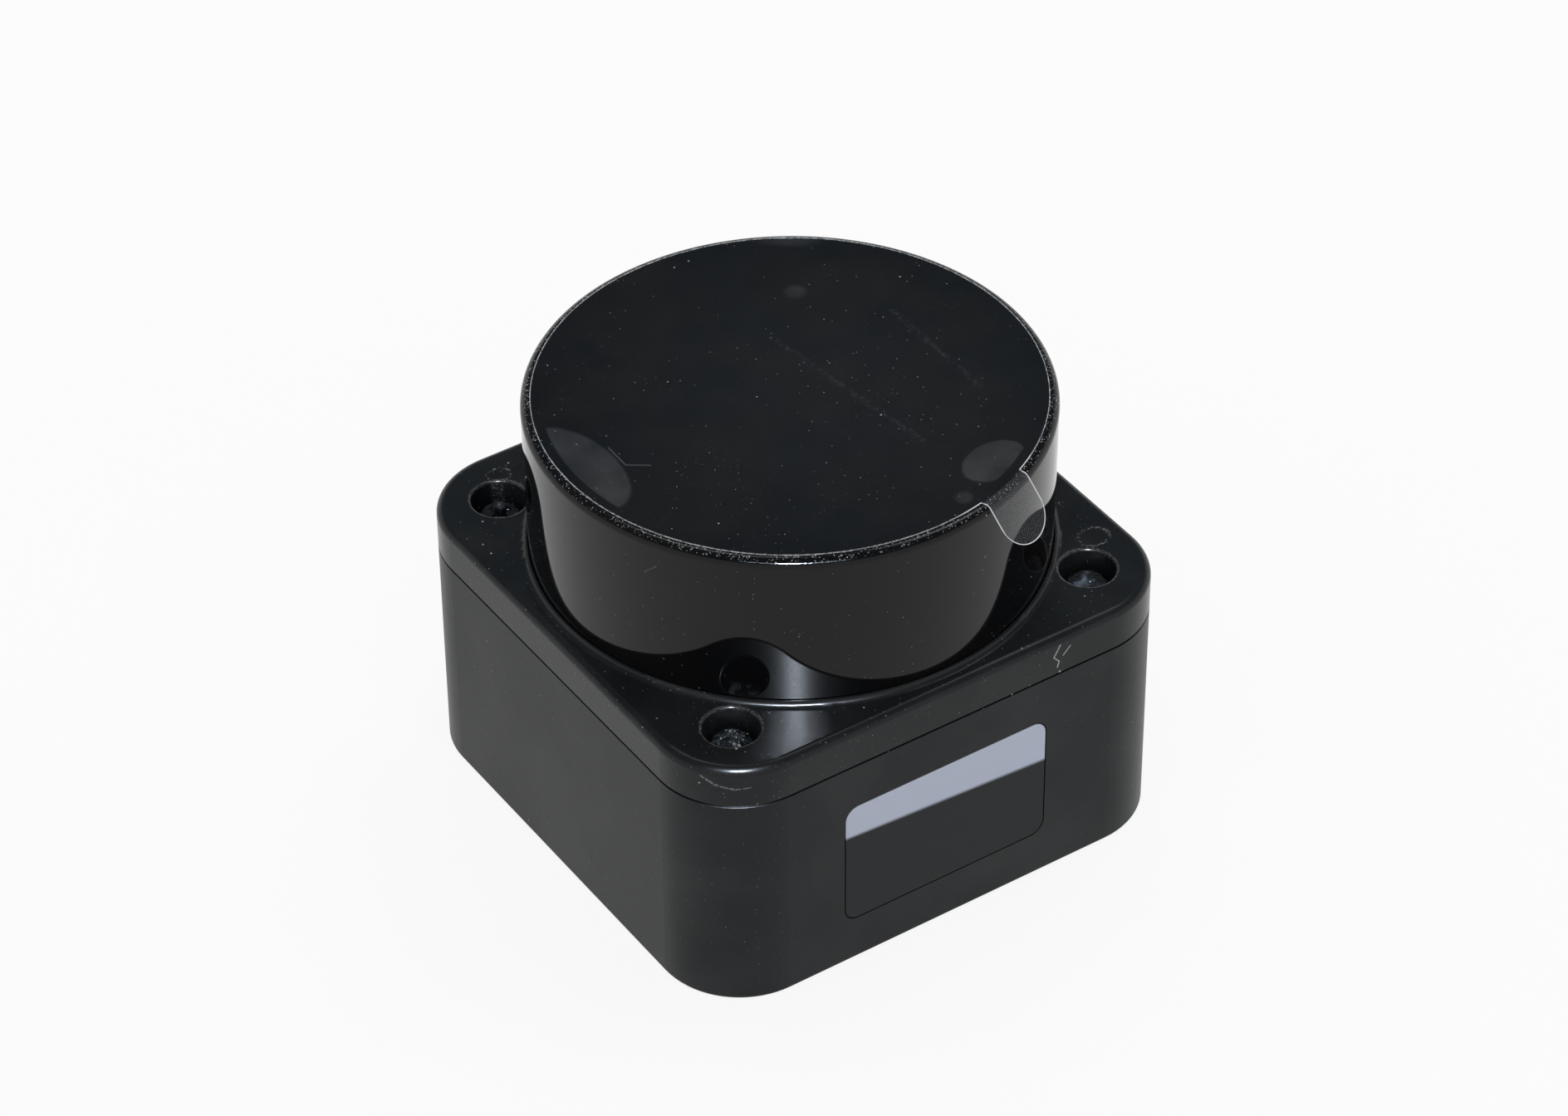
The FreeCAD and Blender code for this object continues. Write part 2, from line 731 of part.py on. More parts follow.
def optical_frame():
    """Block with two light tunnels, lens seats, a baffle between them and a screwed flange."""
    around = disc(head_r, frame_z, frame_top)
    body = block(-frame_left, frame_right, -frame_front, frame_back, frame_z, frame_top)
    baffle_y = -frame_front - baffle_l
    baffle_x0 = baffle_x - baffle_t / 2
    baffle = block(baffle_x0, baffle_x0 + baffle_t, baffle_y, -frame_front, frame_z, frame_top)
    flange_top = frame_z + flange_t
    flange = block(-frame_left, frame_right, 0, flange_back, frame_z, flange_top)
    ears = [disc(ear_r, frame_z, flange_top, sx * ear_x, ear_y) for sx in (1, -1)]
    bridge = block(-ear_x, ear_x, ear_y - ear_r, ear_y + ear_r, frame_z, flange_top)
    body = body.fuse([baffle, flange, bridge] + ears).common(around)
    depth = frame_front + frame_back
    cutters = []
    for x, bore, lens, seat in tunnels():
        cutters.append(along_y(disc(bore, 0, depth), x, -frame_front, optic_z))
        cutters.append(along_y(disc(lens + lens_clear, 0, seat), x, -frame_front, optic_z))
    hole = frame_screw_r + hole_clear
    cutters += [disc(hole, frame_z, flange_top, x, y) for x, y in frame_feet()]
    pilot = disc(sensor_screw_r + thread_clear, 0, sensor_screw_len)
    cutters += [along_y(pilot, x, frame_back - sensor_screw_len, z) for x, z in sensor_screw_places()]
    return body.cut(cutters).removeSplitter()


def lens(radius, edge, bulge, x):
    """Lens with a flat back on its seat and a rounded front."""
    front = FreeCAD.Vector(0, 0, edge + bulge)
    sphere_r = (radius * radius + bulge * bulge) / (2 * bulge)
    half_turn = radius / 2
    lift = (sphere_r * sphere_r - half_turn * half_turn) ** 0.5 - (sphere_r - bulge)
    mid = FreeCAD.Vector(half_turn, 0, edge + lift)
    rim = FreeCAD.Vector(radius, 0, edge)
    back = FreeCAD.Vector(radius, 0, 0)
    lines = [Part.makeLine(ORIGIN, back), Part.makeLine(back, rim), Part.Arc(rim, mid, front).toShape()]
    lines.append(Part.makeLine(front, ORIGIN))
    body = Part.Face(Part.Wire(lines)).revolve(ORIGIN, UP, 360)
    body.rotate(ORIGIN, FreeCAD.Vector(1, 0, 0), 90)
    body.translate(FreeCAD.Vector(x, -frame_front + edge, optic_z))
    return body


def sensor_board():
    """Upright board on the frame's back."""
    y1 = frame_back + sensor_board_t
    plate = block(-frame_left, frame_right, frame_back, y1, frame_z + flange_t, frame_top)
    hole = disc(sensor_screw_r + hole_clear, 0, sensor_board_t)
    return plate.cut([along_y(hole, x, frame_back, z) for x, z in sensor_screw_places()])


def sensor_screws():
    """Screws through the sensor board into the frame."""
    screw = pan_screw(sensor_screw_r, sensor_screw_len, sensor_screw_head_r, sensor_screw_head_h, 0)
    return [along_y(screw, x, frame_back + sensor_board_t, z) for x, z in sensor_screw_places()]


def laser_diode():
    """Flanged can on the sensor board, facing the emitter lens."""
    can = disc(laser_r, 0, laser_flange_t)
    can = can.fuse(disc(laser_can_r, laser_flange_t, laser_flange_t + laser_can_l))
    can.rotate(ORIGIN, FreeCAD.Vector(1, 0, 0), 90)
    can.translate(FreeCAD.Vector(emitter_x, frame_back, optic_z))
    return can


def balance_weight():
    """Curved weight on the rotor board, opposite the lenses."""
    z1 = rotor_board_top + weight_h
    body = ring(head_r - weight_w, head_r, rotor_board_top, z1)
    return body.common(spun(wedge(weight_deg, rotor_board_top, z1), 90))


def chip(width, x, y, z0, z1):
    """Square component centred on a point."""
    return block(x - width / 2, x + width / 2, y - width / 2, y + width / 2, z0, z1)


os.makedirs("parts", exist_ok=True)

# Housing, cover and window
save("base_housing", base_housing())
save("top_cover", top_cover())
save("optical_window", optical_window())
save("cover_screws", *at_corners(cover_screw(), screw_x))
save("cover_gasket", gasket_cord(0, base_h - gasket_h, base_h))
save("id_label", label_plate(0, -half, -half + label_t))
save("protective_film", protective_film())

# Main board and what it carries
save("main_board", main_board())
board_head = (board_screw_head_r, board_screw_head_h)
board_screw = pan_screw(board_screw_r, board_screw_len, *board_head, board_top)
save("board_screws", *[moved(board_screw, sx * boss_x, sy * boss_y) for sx, sy in CORNERS])
save("control_chip", chip(chip_w, 0, chip_y, board_top, board_top + chip_t))
part_x = chip_w / 4 + board_arm / 2
power_coil_top = board_top + power_coil_h
power_coils = [chip(power_coil_w, sx * part_x, chip_y, board_top, power_coil_top) for sx in (1, -1)]
capacitor_top = board_top + capacitor_h
capacitors = [disc(capacitor_r, board_top, capacitor_top, sx * part_x, boss_y) for sx in (1, -1)]
save("board_parts", *power_coils, *capacitors)
save("link_receiver", chip(link_w, 0, 0, board_top, board_top + link_t))
socket_pins = io_pins()
save("io_pins", *socket_pins)
save("io_socket", io_socket(socket_pins))

# Motor, fixed side
save("motor_plate", motor_plate())
plate_head = (plate_screw_head_r, plate_screw_head_h)
plate_screw = pan_screw(plate_screw_r, plate_screw_len, *plate_head, plate_top)
save("plate_screws", *at_corners(plate_screw, pillar_x))
link_pins = header_pins()
save("header_pins", *link_pins)
save("header_block", header_block(link_pins))
save("motor_board", motor_board(link_pins))
bush = ring(spindle_r + bearing_clear, bush_r, 0, bush_l)
save("bearing_bushes", moved(bush, 0, 0, plate_z), moved(bush, 0, 0, tube_top - bush_l))
save("stator_core", stator_core())
save("stator_coils", *stator_coils())
fixed_ferrite_top = fixed_coil_top - power_winding_t
save("fixed_ferrite", ring(ferrite_in_r, ferrite_out_r, motor_board_top, fixed_ferrite_top))
winding_in_r = ferrite_in_r + winding_margin
winding_out_r = ferrite_out_r - winding_margin
save("fixed_coil", ring(winding_in_r, winding_out_r, fixed_ferrite_top, fixed_coil_top))
save("encoder_fork", encoder_fork())

# Rotor
save("spindle", spindle())
save("retaining_clip", retaining_clip())
save("rotor_disc", rotor_disc())
save("rotor_yoke", ring(yoke_in_r, yoke_r, yoke_z, disc_z))
save("magnet_ring", ring(magnet_in_r, yoke_in_r, yoke_z, yoke_z + magnet_h))
save("rotor_ferrite", ring(ferrite_in_r, ferrite_out_r, rotor_ferrite_z, disc_z))
save("rotor_coil", ring(winding_in_r, winding_out_r, rotor_coil_z, rotor_ferrite_z))
save("encoder_ring", encoder_ring())
save("rotor_board", rotor_board())
under_board = rotor_board_z - rotor_chip_t
chip_ring = (hub_r + ear_x) / 2
rotor_chips = [chip(rotor_chip_w, sx * chip_ring, 0, under_board, rotor_board_z) for sx in (1, -1)]
save("rotor_parts", *rotor_chips)
save("link_emitter", chip(link_w, 0, 0, under_board, rotor_board_z))

# Optics
save("optical_frame", optical_frame())
frame_head = (frame_screw_head_r, frame_screw_head_h)
frame_screw = pan_screw(frame_screw_r, frame_screw_len, *frame_head, frame_z + flange_t)
save("frame_screws", *[moved(frame_screw, x, y) for x, y in frame_feet()])
save("receiver_lens", lens(receiver_lens_r, receiver_lens_edge, receiver_lens_bulge, receiver_x))
save("emitter_lens", lens(emitter_lens_r, emitter_lens_edge, emitter_lens_bulge, emitter_x))
save("sensor_board", sensor_board())
save("sensor_screws", *sensor_screws())
detector = block(-detector_w / 2, detector_w / 2, -detector_t, 0, -detector_w / 2, detector_w / 2)
save("detector_chip", moved(detector, receiver_x, frame_back, optic_z))
save("laser_diode", laser_diode())
save("balance_weight", balance_weight())
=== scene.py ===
from math import radians, sin, cos, pi
import bmesh
import bpy
import numpy as np
from mathutils import Matrix, Vector


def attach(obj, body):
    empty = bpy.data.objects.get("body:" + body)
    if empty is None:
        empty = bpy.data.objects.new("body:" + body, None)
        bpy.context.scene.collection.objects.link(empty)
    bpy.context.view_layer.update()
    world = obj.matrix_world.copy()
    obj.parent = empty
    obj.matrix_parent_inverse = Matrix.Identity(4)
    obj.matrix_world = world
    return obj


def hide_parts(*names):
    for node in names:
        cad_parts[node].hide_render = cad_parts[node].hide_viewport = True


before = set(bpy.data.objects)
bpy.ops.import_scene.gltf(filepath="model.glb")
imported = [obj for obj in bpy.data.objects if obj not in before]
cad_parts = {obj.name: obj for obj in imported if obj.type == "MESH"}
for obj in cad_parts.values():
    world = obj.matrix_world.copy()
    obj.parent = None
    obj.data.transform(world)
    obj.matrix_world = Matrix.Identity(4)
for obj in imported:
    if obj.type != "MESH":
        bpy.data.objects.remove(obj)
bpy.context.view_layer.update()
mm = 0.001
mergeReach = 0.0001  # mm
scene = bpy.context.scene
scene.view_settings.view_transform = "Standard"
print("frame loaded")


# Faces of a grid of points: quads join each row to the next one, and the columns close into a loop.
# A row whose points all meet becomes a pole when doubles are merged.
def gridFaces(rows, columns, first=0):
    row, column = np.meshgrid(np.arange(rows - 1), np.arange(columns), indexing="ij")
    after = (column + 1) % columns
    quads = np.stack([row * columns + column, row * columns + after,
                      (row + 1) * columns + after, (row + 1) * columns + column], axis=-1)
    return quads.reshape(-1, 4) + first


# Makes a piece from points in mm: doubles merged, faces turned outwards, smooth but for sharp edges.
def makePiece(name, points, faces, material, body="base", crease=32.0):
    mesh = bpy.data.meshes.new(name)
    mesh.from_pydata((points.reshape(-1, 3) * mm).tolist(), [], faces.tolist())
    build = bmesh.new()
    build.from_mesh(mesh)
    bmesh.ops.remove_doubles(build, verts=build.verts, dist=mergeReach * mm)
    bmesh.ops.recalc_face_normals(build, faces=build.faces)
    build.to_mesh(mesh)
    build.free()
    mesh.polygons.foreach_set("use_smooth", np.ones(len(mesh.polygons), dtype=bool))
    mesh.set_sharp_from_angle(angle=radians(crease))
    mesh.materials.append(material)
    piece = bpy.data.objects.new(name, mesh)
    scene.collection.objects.link(piece)
    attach(piece, body)
    return piece


# Rounds the corners of an open outline of (radius, height, rounding) points: each rounded corner
# becomes an arc that touches both its sides, and each long run gets a close point at both ends.
def roundedOutline(corners, steps=10, hold=0.05):
    flat = np.array([c[:2] for c in corners], dtype=float)
    points = [flat[0]]
    for before, here, after, rounding in zip(flat, flat[1:], flat[2:], [c[2] for c in corners[1:]]):
        back = (before - here) / np.linalg.norm(before - here)
        ahead = (after - here) / np.linalg.norm(after - here)
        if rounding == 0:
            points += [here + back * hold, here, here + ahead * hold]
            continue
        halfTurn = np.arccos(np.clip(back @ ahead, -1, 1)) / 2
        middle = here + (back + ahead) / np.linalg.norm(back + ahead) * rounding / np.sin(halfTurn)
        start = here + back * rounding / np.tan(halfTurn)
        end = here + ahead * rounding / np.tan(halfTurn)
        share = np.linspace(0, 1, steps + 1)[:, None]
        spread = pi - 2 * halfTurn
        arc = middle + (np.sin((1 - share) * spread) * (start - middle)
                        + np.sin(share * spread) * (end - middle)) / np.sin(spread)
        points += [start + back * hold] + list(arc) + [end + ahead * hold]
    return np.array(points + [flat[-1]])


# Turns an outline about the upright axis: x = r cos a, y = r sin a, z = height.
def turnedSurface(outline, steps):
    angle = np.linspace(0, 2 * pi, steps, endpoint=False)[None, :]
    radius, height = outline[:, 0:1], outline[:, 1:2]
    return np.stack([radius * np.cos(angle), radius * np.sin(angle), height + 0 * angle], axis=-1)


# Adds a shader node, sets its properties and joins or sets its inputs.
def put(tree, kind, inputs=None, **props):
    node = tree.nodes.new(kind)
    for key, value in props.items():
        setattr(node, key, value)
    for key, value in (inputs or {}).items():
        if isinstance(value, bpy.types.NodeSocket):
            tree.links.new(value, node.inputs[key])
        else:
            node.inputs[key].default_value = value
    return node


def calc(tree, operation, first, second=0.0, third=0.0, clamp=False):
    inputs = {0: first, 1: second, 2: third}
    return put(tree, "ShaderNodeMath", inputs, operation=operation, use_clamp=clamp).outputs[0]


# Sums with vectors. Lengths, distances and dot products come out as a number.
def vectorCalc(tree, operation, first, second=(0.0, 0.0, 0.0)):
    node = put(tree, "ShaderNodeVectorMath", {0: first, 1: second}, operation=operation)
    return node.outputs[1 if operation in ("LENGTH", "DISTANCE", "DOT_PRODUCT") else 0]


def scaled(tree, vector, factor):
    return put(tree, "ShaderNodeVectorMath", {0: vector, 3: factor}, operation="SCALE").outputs[0]


def noise(tree, place, scale, detail):
    return put(tree, "ShaderNodeTexNoise", {"Vector": place, "Scale": scale, "Detail": detail}).outputs[0]


# Smooth step from 0 to 1 while the value goes from low to high, or back when low is the larger.
def softStep(tree, value, low, high):
    if isinstance(low, (int, float)) and isinstance(high, (int, float)) and low > high:
        return calc(tree, "SUBTRACT", 1.0, softStep(tree, value, high, low))
    return put(tree, "ShaderNodeMapRange", {0: value, 1: low, 2: high, 3: 0.0, 4: 1.0},
               interpolation_type="SMOOTHSTEP").outputs[0]


def mixColour(tree, share, first, second):
    first, second = [tone + (1.0,) if isinstance(tone, tuple) else tone for tone in (first, second)]
    return put(tree, "ShaderNodeMix", {0: share, 6: first, 7: second}, data_type="RGBA").outputs[2]


# Object coordinates in mm.
def millimetres(tree):
    return scaled(tree, put(tree, "ShaderNodeTexCoord").outputs["Object"], 1000.0)


def split(tree, vector):
    return put(tree, "ShaderNodeSeparateXYZ", {0: vector}).outputs


# Distance of a place from the upright axis.
def fromAxis(tree, place):
    return vectorCalc(tree, "LENGTH", vectorCalc(tree, "MULTIPLY", place, (1.0, 1.0, 0.0)))


def newGroup(name, inputs, outputs):
    group = bpy.data.node_groups.new(name, "ShaderNodeTree")
    for label, kind, value in inputs:
        socket = group.interface.new_socket(label, in_out="INPUT", socket_type="NodeSocket" + kind)
        if value is not None:
            socket.default_value = value
    for label, kind in outputs:
        group.interface.new_socket(label, in_out="OUTPUT", socket_type="NodeSocket" + kind)
    return group, group.nodes.new("NodeGroupInput").outputs, group.nodes.new("NodeGroupOutput").inputs


def placed(tree, group, **inputs):
    return put(tree, "ShaderNodeGroup", inputs, node_tree=group).outputs


# Moulded grain: a noise of one cell size plus half of a noise with cells a quarter as wide.
def makeFineGrain():
    group, given, result = newGroup(
        "fineGrain", [("place", "Vector", None), ("cell", "Float", 0.3)], [("height", "Float")])
    scale = calc(group, "DIVIDE", 1.0, given["cell"])
    coarse = noise(group, given["place"], scale, 2.0)
    fine = noise(group, given["place"], calc(group, "MULTIPLY", scale, 4.0), 1.0)
    group.links.new(calc(group, "MULTIPLY_ADD", fine, 0.5, coarse), result["height"])
    return group


# Dust: the share of Voronoi cells that hold a speck, each speck up to its size in mm across.
def makeDustSpecks():
    group, given, result = newGroup(
        "dustSpecks", [("place", "Vector", None), ("cell", "Float", 1.0), ("share", "Float", 0.2),
                       ("size", "Float", 0.1)], [("mask", "Float")])
    scale = calc(group, "DIVIDE", 1.0, given["cell"])
    cells = put(group, "ShaderNodeTexVoronoi", {"Vector": given["place"], "Scale": scale})
    draw = put(group, "ShaderNodeSeparateColor", {0: cells.outputs["Color"]}).outputs
    held = calc(group, "LESS_THAN", draw[0], given["share"])
    away = calc(group, "MULTIPLY", cells.outputs["Distance"], given["cell"])
    reach = calc(group, "MULTIPLY", given["size"], calc(group, "MULTIPLY_ADD", draw[1], 0.4, 0.1))
    near = softStep(group, calc(group, "DIVIDE", away, reach), 1.0, 0.5)
    level = calc(group, "MULTIPLY_ADD", draw[2], 0.7, 0.3)
    group.links.new(calc(group, "MULTIPLY", calc(group, "MULTIPLY", held, near), level), result["mask"])
    return group


# Oval patch: 1 inside an ellipse that is turned about Z, with an edge of its own softness.
def makeOvalPatch():
    group, given, result = newGroup(
        "ovalPatch", [("place", "Vector", None), ("centre", "Vector", (0, 0, 0)),
                      ("reach", "Vector", (1, 1, 1000)), ("turn", "Float", 0.0), ("edge", "Float", 0.1)],
        [("mask", "Float"), ("range", "Float")])
    off = vectorCalc(group, "SUBTRACT", given["place"], given["centre"])
    turned = put(group, "ShaderNodeVectorRotate", {"Vector": off, "Angle": given["turn"]},
                 rotation_type="Z_AXIS").outputs[0]
    away = vectorCalc(group, "LENGTH", vectorCalc(group, "DIVIDE", turned, given["reach"]))
    low = calc(group, "SUBTRACT", 1.0, given["edge"])
    high = calc(group, "ADD", 1.0, given["edge"])
    group.links.new(calc(group, "SUBTRACT", 1.0, softStep(group, away, low, high)), result["mask"])
    group.links.new(away, result["range"])
    return group


# Smear: 1 along the line from start to end, fading out at its width in mm from it.
def makeSmear():
    group, given, result = newGroup(
        "smear", [("place", "Vector", None), ("start", "Vector", (0, 0, 0)), ("end", "Vector", (1, 0, 0)),
                  ("width", "Float", 0.3)], [("mask", "Float")])
    run = vectorCalc(group, "SUBTRACT", given["end"], given["start"])
    off = vectorCalc(group, "SUBTRACT", given["place"], given["start"])
    along = vectorCalc(group, "DOT_PRODUCT", off, run)
    whole = vectorCalc(group, "DOT_PRODUCT", run, run)
    foot = scaled(group, run, calc(group, "DIVIDE", along, whole, clamp=True))
    away = vectorCalc(group, "DISTANCE", off, foot)
    group.links.new(calc(group, "SUBTRACT", 1.0, softStep(group, away, 0.0, given["width"])), result["mask"])
    return group


fineGrain = makeFineGrain()
dustSpecks = makeDustSpecks()
ovalPatch = makeOvalPatch()
smear = makeSmear()


# New material: a Principled shader with its constants set on its own sockets.
def newFinish(name, constants=None):
    material = bpy.data.materials.new(name)
    material.use_nodes = True
    tree = material.node_tree
    tree.nodes.clear()
    shader = put(tree, "ShaderNodeBsdfPrincipled", constants)
    put(tree, "ShaderNodeOutputMaterial", {0: shader.outputs[0]})
    return material, tree, shader


def setBump(tree, shader, height, strength, distance):
    bump = put(tree, "ShaderNodeBump", {"Strength": strength, "Distance": distance * mm, "Height": height})
    tree.links.new(bump.outputs[0], shader.inputs["Normal"])


# Finish of the inner parts: a colour that drifts between two tones, grain in gloss and bump.
def innerFinish(name, dark, light, rough, metal=0.0, cell=0.6, depth=0.02, stretch=(1, 1, 1)):
    material, tree, shader = newFinish(name, {"Metallic": metal})
    place = put(tree, "ShaderNodeMapping", {"Vector": millimetres(tree), "Scale": stretch}).outputs[0]
    grain = placed(tree, fineGrain, place=place, cell=cell)["height"]
    tone = softStep(tree, grain, 0.45, 1.05)
    tree.links.new(mixColour(tree, tone, dark, light), shader.inputs["Base Color"])
    tree.links.new(calc(tree, "MULTIPLY_ADD", tone, 0.15, rough), shader.inputs["Roughness"])
    setBump(tree, shader, grain, 0.4, depth)
    return material


dustLook = dict(driftScale=0.11, drift=(0.30, 0.72), fineCell=0.55, fineSize=0.17, fineShare=0.7,
                coarseCell=1.7, coarseSize=0.30)


# Packing dust: dense fine specks and sparse coarse ones, thinned out by a broad noise.
def dustFall(tree, place, amount, look=dustLook):
    drift = softStep(tree, noise(tree, place, look["driftScale"], 2.0), *look["drift"])
    share = calc(tree, "MULTIPLY", drift, amount)
    fine = placed(tree, dustSpecks, place=place, cell=look["fineCell"], share=share, size=look["fineSize"])
    coarse = placed(tree, dustSpecks, place=place, cell=look["coarseCell"], share=share,
                    size=look["coarseSize"])
    return calc(tree, "MAXIMUM", calc(tree, "MULTIPLY", fine["mask"], look["fineShare"]), coarse["mask"])


# The strongest of a few thin lines, each given as (start, end, width) in mm.
def thinLines(tree, place, lines):
    mask = 0.0
    for start, end, width in lines:
        line = placed(tree, smear, place=place, start=start, end=end, width=width)["mask"]
        mask = calc(tree, "MAXIMUM", mask, line)
    return mask


# An oval mark, given as (centre, reach, turn, edge) in mm and radians.
def oval(tree, place, mark):
    centre, reach, turn, edge = mark
    return placed(tree, ovalPatch, place=place, centre=centre, reach=reach, turn=turn, edge=edge)["mask"]


baseLook = dict(
    ior=1.24, black=(0.0105, 0.0120, 0.0130), paler=(0.020, 0.0215, 0.0225), cloudScale=0.09,
    grainCell=0.35, grainShare=0.35, grainDepth=0.02, rough=0.30, grainRough=0.10,
    dust=(0.40, 0.41, 0.42), dustAmount=0.9, dustShare=0.6, dustRough=0.3,
    gapShadeBlack=(0.002, 0.002, 0.002), seam=(26.84, 26.92),
    panel=dict(x=-0.8, z=13.6, halfWidth=12.7, halfHeight=7.75, round=1.6, front=-29.4, gapShade=(0.19, 0.14)))


# How far a value lies beyond half a width on either side of a middle.
def pastSide(tree, value, middle, half):
    off = calc(tree, "ABSOLUTE", calc(tree, "SUBTRACT", value, middle))
    return calc(tree, "MAXIMUM", calc(tree, "SUBTRACT", off, half), 0.0)


# Base: satin with fine grain and dust, and painted shade, black and unreflecting, in the gaps under the cover
# and round the label.
def basePlastic(look):
    material, tree, shader = newFinish("basePlastic", {"IOR": look["ior"]})
    place = millimetres(tree)
    x, y, z = split(tree, place)
    grain = placed(tree, fineGrain, place=place, cell=look["grainCell"])["height"]
    cloud = noise(tree, place, look["cloudScale"], 3.0)
    specks = dustFall(tree, place, look["dustAmount"])
    # Painted shade: black, unreflecting bands in the gap round the label and at the seam under the cover.
    panel = look["panel"]
    across = pastSide(tree, x, panel["x"], panel["halfWidth"] - panel["round"])
    upward = pastSide(tree, z, panel["z"], panel["halfHeight"] - panel["round"])
    corner = put(tree, "ShaderNodeCombineXYZ", {0: across, 1: upward}).outputs[0]
    outer, inner = panel["gapShade"]
    gapShade = softStep(tree, vectorCalc(tree, "LENGTH", corner), panel["round"] + outer, panel["round"] + inner)
    gapShade = calc(tree, "MULTIPLY", gapShade, calc(tree, "LESS_THAN", y, panel["front"]))
    gapShade = calc(tree, "MAXIMUM", gapShade, softStep(tree, z, *look["seam"]))
    colour = mixColour(tree, softStep(tree, cloud, 0.35, 0.7), look["black"], look["paler"])
    colour = mixColour(tree, gapShade, colour, look["gapShadeBlack"])
    colour = mixColour(tree, calc(tree, "MULTIPLY", specks, look["dustShare"]), colour, look["dust"])
    tree.links.new(colour, shader.inputs["Base Color"])
    tree.links.new(gapShade, shader.inputs["Metallic"])
    rough = calc(tree, "MULTIPLY_ADD", grain, look["grainRough"], look["rough"])
    tree.links.new(calc(tree, "MULTIPLY_ADD", specks, look["dustRough"], rough), shader.inputs["Roughness"])
    setBump(tree, shader, grain, look["grainShare"], look["grainDepth"])
    return material


coverLook = dict(
    ior=1.27, black=(0.0098, 0.0112, 0.0122), paler=(0.0155, 0.0170, 0.0180), cloudScale=0.15,
    grainCell=0.22, sparkle=0.0018, rough=0.19, grainRough=0.08,
    dust=(0.58, 0.59, 0.60), dustAmount=1.7, dustShare=0.85, dustRough=0.3,
    gapShadeBlack=(0.002, 0.002, 0.002), seam=(27.18, 27.10),
    holeAxis=(22.5, 22.5, 0.0), holeRim=(3.0, 3.12, 3.30, 3.42), holeTop=31.6, holeRimHighlight=0.35, paleShare=0.45,
    ringWidth=0.22,
    rings=(((26.1, -18.7, 32.0), (1.75, 1.45, 99.0), 0.02),
           ((-20.4, 26.0, 32.0), (1.3, 1.1, 99.0), 0.01)),
    lintShare=0.75,
    lint=(((12.7, -30.0, 29.5), (13.5, -30.0, 30.85), 0.13),
          ((13.9, -30.0, 29.3), (14.8, -30.0, 30.2), 0.11),
          ((12.7, -30.0, 29.5), (13.4, -30.0, 28.7), 0.09),
          ((13.4, -30.0, 28.7), (13.2, -30.0, 28.0), 0.13),
          ((13.5, -30.0, 27.3), (13.55, -30.0, 27.2), 0.18)),
    scuff=(((-28.4, -25.8, 30.7), (-27.4, -27.0, 29.8), 0.22),
           ((-27.4, -27.0, 29.8), (-25.9, -28.3, 29.4), 0.20),
           ((-25.9, -28.3, 29.4), (-24.5, -29.1, 29.6), 0.14)))


# Cover: gloss with a fine sparkle, dust, lint, a scuffed corner, painted highlights on the hole rims,
# two faint raised rings with painted glints behind the screw holes, and painted shade in the gap over the
# base.
def coverPlastic(look):
    material, tree, shader = newFinish("coverPlastic", {"IOR": look["ior"]})
    place = millimetres(tree)
    z = split(tree, place)[2]
    grain = placed(tree, fineGrain, place=place, cell=look["grainCell"])["height"]
    cloud = noise(tree, place, look["cloudScale"], 3.0)
    specks = dustFall(tree, place, look["dustAmount"])
    folded = vectorCalc(tree, "ABSOLUTE", vectorCalc(tree, "MULTIPLY", place, (1.0, 1.0, 0.0)))
    fromHole = vectorCalc(tree, "DISTANCE", folded, look["holeAxis"])  # all four holes at once
    # Painted highlight: pale rings on the rims of the four screw holes, added to the real scuff.
    inner, start, end, outer = look["holeRim"]
    rim = calc(tree, "MULTIPLY", softStep(tree, fromHole, inner, start), softStep(tree, fromHole, outer, end))
    rim = calc(tree, "MULTIPLY", rim, calc(tree, "GREATER_THAN", z, look["holeTop"]))
    paler = calc(tree, "MULTIPLY_ADD", rim, look["holeRimHighlight"], thinLines(tree, place, look["scuff"]))
    height = calc(tree, "MULTIPLY", grain, look["sparkle"])
    # Raised rings behind two holes, which also carry painted glints: pale dots along the ring.
    for centre, reach, rise in look["rings"]:
        away = placed(tree, ovalPatch, place=place, centre=centre, reach=reach)["range"]
        away = calc(tree, "ABSOLUTE", calc(tree, "SUBTRACT", away, 1.0))
        wall = softStep(tree, away, look["ringWidth"], 0.0)
        height = calc(tree, "MULTIPLY_ADD", wall, rise, height)
        paler = calc(tree, "MULTIPLY_ADD", wall, softStep(tree, grain, 0.78, 0.92), paler)
    paler = calc(tree, "MULTIPLY", paler, softStep(tree, grain, 0.55, 0.95))
    paler = calc(tree, "MULTIPLY", paler, look["paleShare"])
    lint = calc(tree, "MULTIPLY", thinLines(tree, place, look["lint"]), look["lintShare"])
    dust = calc(tree, "MULTIPLY", specks, look["dustShare"])
    marks = calc(tree, "MAXIMUM", dust, calc(tree, "MAXIMUM", lint, paler))
    # Painted shade: black and unreflecting in the gap over the base.
    gapShade = softStep(tree, z, *look["seam"])
    colour = mixColour(tree, softStep(tree, cloud, 0.35, 0.7), look["black"], look["paler"])
    colour = mixColour(tree, gapShade, colour, look["gapShadeBlack"])
    tree.links.new(mixColour(tree, marks, colour, look["dust"]), shader.inputs["Base Color"])
    tree.links.new(gapShade, shader.inputs["Metallic"])
    rough = calc(tree, "MULTIPLY_ADD", grain, look["grainRough"], look["rough"])
    tree.links.new(calc(tree, "MULTIPLY_ADD", specks, look["dustRough"], rough), shader.inputs["Roughness"])
    setBump(tree, shader, height, 1.0, 1.0)
    return material


